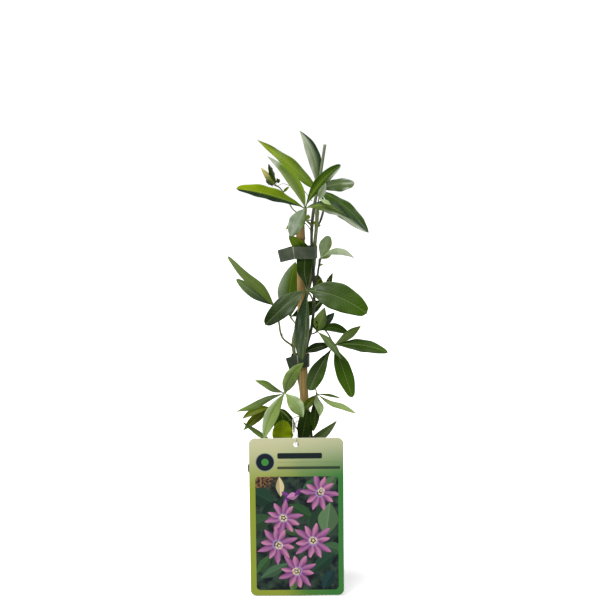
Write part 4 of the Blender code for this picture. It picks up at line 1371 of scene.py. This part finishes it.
def tag_x(height):
    """The x of the tag's middle line at a height."""
    return 1.2 - (height - TAG_HEIGHT / 2) * math.tan(TAG_TURN)


def length_of(tree, vector):
    return node(tree, "ShaderNodeVectorMath", {0: vector}, operation="LENGTH").outputs[1]


def make_panel_group():
    """A mask of a rectangle with round corners."""
    tree, given, out = new_group(
        "printed panel",
        [
            ("Point", "Vector", (0, 0, 0)),
            ("Centre", "Vector", (0, 0, 0)),
            ("Half Size", "Vector", (1, 1, 0)),
            ("Corner", "Float", 1),
        ],
        [("Mask", "Float")],
    )
    away = vector_maths(tree, "ABSOLUTE", vector_maths(tree, "SUBTRACT", given[0], given[1]))
    corner = node(tree, "ShaderNodeCombineXYZ", {0: given[3], 1: given[3]}).outputs[0]
    beyond = vector_maths(tree, "SUBTRACT", away, vector_maths(tree, "SUBTRACT", given[2], corner))
    outside = vector_maths(tree, "MAXIMUM", beyond, (0, 0, 0))
    flat = vector_maths(tree, "MULTIPLY", outside, (1, 1, 0))
    edge = minus(tree, length_of(tree, flat), given[3])
    tree.links.new(soft_step(tree, edge, 0.12, -0.12), out[0])
    return tree


def make_flower_group():
    """An open passion flower in print: ten long petals, a ring of pale threads, and five anthers."""
    tree, given, out = new_group(
        "printed flower",
        [
            ("Point", "Vector", (0, 0, 0)),
            ("Centre", "Vector", (0, 0, 0)),
            ("Radius", "Float", 17),
            ("Turn", "Float", 0),
            ("Heart", "Vector", (0, 0, 0)),
        ],
        [("Mask", "Float"), ("Colour", "Color")],
    )
    wobble = node(tree, "ShaderNodeTexNoise", {"Vector": given[0], "Scale": 0.14, "Detail": 1.0}).outputs[1]
    shaken = scaled(tree, vector_maths(tree, "SUBTRACT", wobble, (0.5, 0.5, 0.5)), 2)
    local = vector_maths(tree, "ADD", vector_maths(tree, "SUBTRACT", given[0], given[1]), shaken)
    flat = vector_maths(tree, "MULTIPLY", local, (1, 1, 0))
    split = parts_of(tree, flat)
    far = over(tree, length_of(tree, flat), given[2])
    angle = plus(tree, maths(tree, "ARCTAN2", split[1], split[0]), given[3])
    turns = times(tree, angle, 10 / (2 * math.pi))
    which = plus(tree, maths(tree, "FLOOR", turns), times(tree, given[3], 9))
    swing = times(tree, minus(tree, maths(tree, "FRACT", turns), 0.5), 2 * math.pi / 10)
    odd = maths(tree, "SINE", times(tree, which, 2.4))
    swing = plus(tree, swing, times(tree, odd, 0.07))
    petal_length = plus(tree, 0.89, times(tree, odd, 0.12))
    along = over(tree, times(tree, far, maths(tree, "COSINE", swing)), petal_length)
    sided = times(tree, far, maths(tree, "SINE", swing))
    across = maths(tree, "ABSOLUTE", sided)
    middle = over(tree, minus(tree, along, 0.5), 0.5)
    fullness = minus(tree, 1, times(tree, middle, middle))
    wide = times(tree, maths(tree, "POWER", maths(tree, "MAXIMUM", fullness, 0.0001), 0.8), 0.15)
    petal = soft_step(tree, minus(tree, across, wide), 0.012, -0.012)
    petal = times(tree, petal, soft_step(tree, along, 1.0, 0.97))
    edge = soft_step(tree, over(tree, across, wide), 0.45, 1.0)
    pink = mixed(tree, soft_step(tree, along, 0.25, 0.95), colour(132, 66, 130), colour(208, 126, 170))
    lit = times(tree, soft_step(tree, sided, -0.07, 0.03), 0.5)
    lit = mixed(tree, lit, pink, colour(228, 164, 198))
    shade = times(tree, soft_step(tree, odd, -0.2, 0.9), 0.35)
    shaded = mixed(tree, shade, lit, colour(124, 62, 140))
    petals = mixed(tree, times(tree, edge, 0.6), shaded, colour(104, 44, 112))
    threads = maths(tree, "FRACT", times(tree, angle, 34 / (2 * math.pi)))
    threads = maths(tree, "ABSOLUTE", minus(tree, threads, 0.5))
    ring = mixed(tree, soft_step(tree, threads, 0.15, 0.3), colour(122, 92, 170), colour(196, 176, 214))
    ring = mixed(tree, soft_step(tree, far, 0.17, 0.11), ring, colour(64, 34, 60))
    with_ring = mixed(tree, soft_step(tree, far, 0.26, 0.2), petals, ring)
    heart = vector_maths(tree, "SUBTRACT", flat, given[4])
    from_heart = parts_of(tree, heart)
    near = over(tree, length_of(tree, heart), given[2])
    fifth = plus(tree, maths(tree, "ARCTAN2", from_heart[1], from_heart[0]), given[3])
    fifth = maths(tree, "FRACT", times(tree, fifth, 5 / (2 * math.pi)))
    fifth = times(tree, minus(tree, fifth, 0.5), 2 * math.pi / 5)
    outward = times(tree, near, maths(tree, "COSINE", fifth))
    outward = over(tree, minus(tree, outward, 0.14), 0.042)
    cross = over(tree, times(tree, near, maths(tree, "SINE", fifth)), 0.085)
    oval = plus(tree, times(tree, outward, outward), times(tree, cross, cross))
    anther = maths(tree, "MAXIMUM", soft_step(tree, oval, 1.3, 0.7), soft_step(tree, near, 0.07, 0.04))
    tree.links.new(maths(tree, "MAXIMUM", petal, soft_step(tree, far, 0.26, 0.23)), out[0])
    tree.links.new(mixed(tree, anther, with_ring, colour(234, 216, 168)), out[1])
    return tree


def make_printed_leaf_group():
    """A leaf in print: a pointed oval with a lighter half and midrib."""
    tree, given, out = new_group(
        "printed leaf",
        [
            ("Point", "Vector", (0, 0, 0)),
            ("Centre", "Vector", (0, 0, 0)),
            ("Half Size", "Vector", (10, 5, 0)),
            ("Turn", "Float", 0),
            ("Below", "Color", (0, 0, 0, 1)),
            ("Leaf Colour", "Color", (0, 0.1, 0, 1)),
        ],
        [("Colour", "Color")],
    )
    local = vector_maths(tree, "SUBTRACT", given[0], given[1])
    spin = {"Vector": local, "Angle": given[3]}
    turned_point = node(tree, "ShaderNodeVectorRotate", spin, rotation_type="Z_AXIS").outputs[0]
    split = parts_of(tree, vector_maths(tree, "DIVIDE", turned_point, given[2]))
    wide = minus(tree, 1, maths(tree, "POWER", maths(tree, "ABSOLUTE", split[0]), 1.7))
    across = maths(tree, "ABSOLUTE", split[1])
    mask = soft_step(tree, minus(tree, across, wide), 0.05, -0.05)
    veins = noise_at(tree, turned_point, 0.35, 3)
    half = soft_step(tree, split[1], -0.05, 0.05)
    lighter = plus(tree, times(tree, half, 0.35), times(tree, veins, 0.3))
    line = times(tree, soft_step(tree, across, 0.09, 0.03), 0.4)
    strength = plus(tree, plus(tree, lighter, line), 0.58)
    tree.links.new(mixed(tree, mask, given[4], scaled(tree, given[5], strength)), out[0])
    return tree


PRINTED_PANEL = make_panel_group()
PRINTED_FLOWER = make_flower_group()
PRINTED_LEAF = make_printed_leaf_group()

# Each leaf: its centre and half size on the card from the card's middle, its turn, and its colour.
PICTURE_LEAVES = [
    ((-32, 20), (14, 9), 0.5, (34, 66, 48)),
    ((-24, 8), (13, 6), 2.4, (26, 54, 46)),
    ((-34, -4), (12, 8), -0.4, (52, 84, 52)),
    ((4, 6), (13, 6), 0.55, (46, 84, 48)),
    ((12, 32), (9, 3.4), -0.7, (52, 96, 62)),
    ((31, 33), (10, 5), -0.9, (84, 116, 76)),
    ((18, -2), (14, 6), -1.2, (34, 62, 44)),
    ((29, -2), (16, 9.5), -1.45, (96, 128, 88)),
    ((34, -30), (11, 6), 0.3, (64, 100, 66)),
    ((-31, -45), (12, 4.6), -0.9, (62, 100, 58)),
    ((-21, -51.5), (15, 5), -0.5, (74, 110, 78)),
    ((24, -44), (15, 6.5), -0.7, (34, 70, 52)),
    ((29, -60), (11, 6), -1.1, (28, 62, 62)),
    ((-3, -64), (9, 4.5), -1.3, (88, 122, 70)),
    ((-4, -14), (9, 3.6), 0.2, (66, 96, 58)),
    ((-15.2, 29.5), (9.5, 3.8), 1.5, (226, 208, 158)),
    ((-9.5, 17), (5, 2.2), -0.9, (110, 54, 132)),
    ((-10, 22), (5, 2), 0.6, (126, 66, 146)),
    ((-3.6, 20.4), (5.5, 3.6), -0.2, (206, 138, 188)),
    ((1.5, 24), (5, 2), -0.8, (120, 56, 134)),
]
# Each flower: its centre, radius, turn, and where its heart lies from its centre.
PICTURE_FLOWERS = [
    ((21.3, 23.5), 19, 0.35, (1.5, 1.5)),
    ((-12.4, -0.6), 19, 0.1, (0, 0)),
    ((-18.4, -26.2), 20, 0.55, (1.8, -1)),
    ((15, -23), 20.5, 0.22, (0, 0.5)),
    ((0.4, -52.4), 19.5, 0.5, (-1.5, 0)),
]


INK = (22, 34, 36)
# Each plain shape over the picture: its centre, half size, corner, strength and colour. A roundel of
# three discs comes first, and then the bar, the rule and the finer bar beside it.
CARD_PANELS = [
    ((-28.8, 53), (8.9, 8.9), 8.89, 1, (158, 172, 152)),
    ((-28.8, 53), (8.2, 8.2), 8.19, 1, (16, 30, 46)),
    ((-28.8, 53), (3.4, 3.4), 3.39, 1, (70, 150, 66)),
    ((3.2, 58.9), (20.6, 2.7), 1.4, 1, INK),
    ((11, 52.9), (28.8, 0.16), 0.1, 0.45, INK),
    ((11.4, 47.5), (29, 1.3), 0.8, 0.85, INK),
]


def card_print():
    made, tree = new_material("printed card")
    point = carried(tree, "print", "Vector")
    split = parts_of(tree, point)

    def panel(centre, half, corner):
        inputs = {"Point": point, "Centre": (*centre, 0), "Half Size": (*half, 0), "Corner": corner}
        return placed_group(tree, PRINTED_PANEL, inputs)["Mask"]

    clouds = noise_at(tree, point, 0.03, 1)
    slope = plus(tree, split[0], times(tree, minus(tree, clouds, 0.5), 60))
    border = mixed(tree, soft_step(tree, slope, -34, 34), colour(158, 172, 60), colour(62, 132, 60))
    rising = plus(tree, split[1], times(tree, split[0], -0.12))
    border = mixed(tree, soft_step(tree, rising, 30, 84), border, colour(224, 222, 180))

    foliage = noise_at(tree, point, 0.11, 4)
    picture = mixed(tree, soft_step(tree, foliage, 0.35, 0.65), colour(12, 22, 30), colour(56, 78, 62))
    chips = noise_at(tree, point, 0.5, 2)
    mulch = mixed(tree, soft_step(tree, chips, 0.4, 0.66), colour(34, 28, 26), colour(166, 122, 82))
    corner = soft_step(tree, minus(tree, split[1], split[0]), 50, 64)
    picture = mixed(tree, corner, picture, mulch)
    for centre, half, turn, shade in PICTURE_LEAVES:
        inputs = {"Point": point, "Centre": (*centre, 0), "Half Size": (*half, 1), "Turn": turn}
        inputs.update({"Below": picture, "Leaf Colour": colour(*shade)})
        picture = placed_group(tree, PRINTED_LEAF, inputs)["Colour"]
    for centre, radius, turn, heart in PICTURE_FLOWERS:
        inputs = {"Point": point, "Centre": (*centre, 0), "Radius": radius, "Turn": turn}
        flower = placed_group(tree, PRINTED_FLOWER, {**inputs, "Heart": (*heart, 0)})
        picture = mixed(tree, flower["Mask"], picture, flower["Colour"])

    front = mixed(tree, panel((0.3, -15.6), (38.3, 54.8), 3.6), border, picture)
    for centre, half, corner, strength, shade in CARD_PANELS:
        mask = times(tree, panel(centre, half, corner), strength)
        front = mixed(tree, mask, front, colour(*shade))
    uneven = bumped(tree, noise_at(tree, point, 6, 2), 0.01)
    set_shader(tree, Base_Color=front, Roughness=0.36, Specular_IOR_Level=0.25, Normal=uneven)
    return made


def rounded_outline(half_x, half_y, corner, steps):
    """A rectangle's outline with round corners."""
    points = []
    for quarter, (sx, sy) in enumerate(((1, 1), (-1, 1), (-1, -1), (1, -1))):
        for step in range(steps + 1):
            angle = math.pi / 2 * (quarter + step / steps)
            x = sx * (half_x - corner) + corner * math.cos(angle)
            points.append((x, sy * (half_y - corner) + corner * math.sin(angle)))
    return points


def make_tag():
    outline = rounded_outline(TAG_WIDTH / 2, TAG_HEIGHT / 2, TAG_CORNER, TAG_ARC_STEPS)
    hole = [
        (TAG_HOLE_RADIUS * math.cos(a), TAG_HEIGHT / 2 - TAG_HOLE_DROP + TAG_HOLE_RADIUS * math.sin(a))
        for a in (2 * math.pi * step / 40 for step in range(40))
    ]
    bm = bmesh.new()
    edges = []
    for ring in (outline, hole):
        verts = [bm.verts.new((x, y, 0)) for x, y in ring]
        edges += [bm.edges.new((a, b)) for a, b in zip(verts, verts[1:] + verts[:1])]
    bmesh.ops.triangle_fill(bm, use_beauty=True, edges=edges)
    bmesh.ops.recalc_face_normals(bm, faces=bm.faces)
    if sum(face.normal.z for face in bm.faces) < 0:
        bmesh.ops.reverse_faces(bm, faces=bm.faces)
    printed = bm.verts.layers.float_vector.new("print")
    for vert in bm.verts:
        vert[printed] = (vert.co.x, vert.co.y, 0)
    mesh = mesh_from("printed_tag", bm, smooth=False)
    tag = new_piece("printed_tag", mesh, [CARD_PRINT, CARD_BACK], ["hang_tag"])
    thicken(tag, TAG_THICKNESS, offset=0, back=1, rim=1)
    ease_edges(tag, 0.12)
    baked(tag)
    middle = TAG_FLOOR_GAP + TAG_HEIGHT / 2 * math.cos(TAG_LEAN)
    stand = Matrix.Rotation(math.pi / 2 + TAG_LEAN, 4, "X") @ Matrix.Rotation(TAG_TURN, 4, "Z")
    tag.data.transform(Matrix.Translation(Vector((tag_x(middle), tag_y(middle), middle)) * MM) @ stand)


CARD_PRINT = card_print()
CARD_BACK = mottled_finish("card back", (222, 224, 216), (232, 233, 228), (30, 1200), 0.02, Roughness=0.42)
make_tag()


# ---------------------------------------------------------------- tag string
# White cotton string of three twisted strands. It goes through the tag's hole, over the card's top edge,
# round the cane and stems and back, so that the tag can't slip off the plant.

STRING_RADIUS = 0.6
STRAND_TWIST = 2.1  # turns of the strands in each centimetre


def string_route():
    top = TAG_FLOOR_GAP + TAG_HEIGHT * math.cos(TAG_LEAN)
    hole = top - TAG_HOLE_DROP
    x = tag_x(hole)
    return [
        (x, tag_y(hole), hole),
        (x - 0.3, tag_y(hole) - 1.4, hole + 1.6),
        (x - 0.4, tag_y(top) - 1.3, top - 0.4),
        (x - 0.2, tag_y(top) + 1, top + 1.6),
        (-0.3, -34, 155),
        (-0.3, -15, 158),
        (2, -6.6, 160.4),
        (10, -5.6, 161.5),
        (17, -2, 162),
        (17.5, 6.5, 162),
        (12, 10, 162),
        (3, 9.6, 162),
        (-1.8, 3, 161),
        (-2.4, -8, 158.5),
        (-2.4, -20, 156.5),
        (-2, -34, 153.6),
        (x - 0.6, tag_y(top) + 3, top - 1),
        (x - 0.1, tag_y(hole) + 1.6, hole + 1.2),
    ]


def strand_tree(finish):
    """Geometry Nodes that turn a line into three strands twisted round it."""
    tree, given = new_geometry_group("twisted strands", {"Radius": 0.0006, "Turns per Metre": 200.0})
    length = node(tree, "GeometryNodeSplineParameter").outputs["Length"]
    turning = times(tree, times(tree, length, given["Turns per Metre"]), 2 * math.pi)
    line = node(tree, "GeometryNodeSetCurveTilt", {"Curve": given["Geometry"], "Tilt": turning}).outputs[0]
    join = tree.nodes.new("GeometryNodeJoinGeometry")
    circle = node(tree, "GeometryNodeCurvePrimitiveCircle", {"Resolution": 10})
    tree.links.new(times(tree, given["Radius"], 0.52), circle.inputs["Radius"])
    for strand in range(3):
        angle = 2 * math.pi * strand / 3
        away = node(tree, "ShaderNodeCombineXYZ", {0: math.cos(angle), 1: math.sin(angle)}).outputs[0]
        shift = scaled(tree, away, times(tree, given["Radius"], 0.48))
        moved = node(tree, "GeometryNodeTransform", {"Geometry": circle.outputs[0], "Translation": shift})
        tree.links.new(moved.outputs[0], join.inputs[0])
    profile = {"Curve": line, "Profile Curve": join.outputs[0], "Fill Caps": True}
    tube = node(tree, "GeometryNodeCurveToMesh", profile)
    smooth = node(tree, "GeometryNodeSetShadeSmooth", {"Geometry": tube.outputs[0]})
    end_geometry_group(tree, smooth.outputs[0], finish)
    return tree


def make_string():
    route = string_route()
    path = smooth_path([*route, route[0]], 22)
    data = bpy.data.curves.new("twisted_string", "CURVE")
    data.dimensions = "3D"
    spline = data.splines.new("POLY")
    spline.points.add(len(path) - 1)
    for knot, place in zip(spline.points, path):
        knot.co = (*(place * MM), 1)
    line = new_object("string line", data)
    strands = line.modifiers.new("strands", "NODES")
    strands.node_group = strand_tree(COTTON)
    set_sizes(strands, {"Radius": STRING_RADIUS * MM, "Turns per Metre": STRAND_TWIST * 100})
    graph = bpy.context.evaluated_depsgraph_get()
    mesh = bpy.data.meshes.new_from_object(line.evaluated_get(graph))
    bpy.data.objects.remove(line)
    mesh.materials.clear()
    new_piece("twisted_string", mesh, [COTTON], ["tag_string"])


COTTON = mottled_finish(
    "cotton string", (222, 216, 200), (244, 241, 232), (500, 6000), 0.1, Roughness=0.85, Sheen_Weight=0.3
)
make_string()


# ---------------------------------------------------------------- studio
# A white sweep of paper under two broad soft lights, as for a catalogue. A long lens a little above the
# pot looks straight at the tag's printed face.

CAMERA_DISTANCE = 1.6
CAMERA_RISE = math.radians(6)
CAMERA_TARGET = Vector((0.0042, 0, 0.2744))
CAMERA_VIEW_WIDTH = 0.564
SENSOR_WIDTH = 36
ROOM_LIGHT = 0.38  # how bright the room is for the plant, and how bright it is seen
PAPER_LIGHT = 1.05


def white_sweep():
    """A matt white that sends less light back up at the plant than the lens sees."""
    made, tree = new_material("white sweep")
    set_shader(tree, Base_Color=(0.9, 0.9, 0.9, 1), Roughness=0.9, Specular_IOR_Level=0.1)
    set_shader(tree, Emission_Color=(1, 1, 1, 1), Emission_Strength=0.22)
    grey = node(tree, "ShaderNodeBsdfDiffuse", {"Color": (0.34, 0.34, 0.34, 1)})
    seen = node(tree, "ShaderNodeLightPath").outputs["Is Camera Ray"]
    bright = tree.nodes["Principled BSDF"].outputs[0]
    both = node(tree, "ShaderNodeMixShader", {0: seen, 1: grey.outputs[0], 2: bright})
    tree.links.new(both.outputs[0], tree.nodes["Material Output"].inputs["Surface"])
    return made


def add_light(name, toward, spread, power):
    """A very large, far softbox: light from that direction, spread over an angle in degrees."""
    data = bpy.data.lights.new(name, "SUN")
    data.energy = power
    data.angle = math.radians(spread)
    light = new_object(name, data)
    light.rotation_euler = Vector(toward).to_track_quat("Z", "Y").to_euler()


floor_mesh = bmesh.new()
bmesh.ops.create_grid(floor_mesh, x_segments=1, y_segments=1, size=6000)
floor = new_object("sweep", mesh_from("sweep", floor_mesh))
floor.data.materials.append(white_sweep())

world = bpy.data.worlds.new("studio")
world.use_nodes = True
room = world.node_tree
paper = node(room, "ShaderNodeBackground", {"Color": (1, 1, 1, 1), "Strength": PAPER_LIGHT})
seen = node(room, "ShaderNodeLightPath").outputs["Is Camera Ray"]
lit_room = room.nodes["Background"]
set_sockets(room, lit_room.inputs, {"Color": (1, 1, 1, 1), "Strength": ROOM_LIGHT})
whole = node(room, "ShaderNodeMixShader", {0: seen, 1: lit_room.outputs[0], 2: paper.outputs[0]})
room.links.new(whole.outputs[0], room.nodes["World Output"].inputs["Surface"])
bpy.context.scene.world = world
add_light("top softbox", (-0.5, -0.55, 1.3), 50, 3.6)
add_light("back softbox", (0.7, 1.0, 0.9), 50, 1.3)

lens = bpy.data.cameras.new("camera")
lens.sensor_width = SENSOR_WIDTH
lens.lens = SENSOR_WIDTH * CAMERA_DISTANCE / CAMERA_VIEW_WIDTH
lens.clip_start = 0.05
camera = new_object("camera", lens)
away = Vector((0, -math.cos(CAMERA_RISE), math.sin(CAMERA_RISE)))
camera.location = CAMERA_TARGET + CAMERA_DISTANCE * away
camera.rotation_euler = (-away).to_track_quat("-Z", "Y").to_euler()
bpy.context.scene.camera = camera
bpy.context.scene.view_settings.view_transform = "Standard"
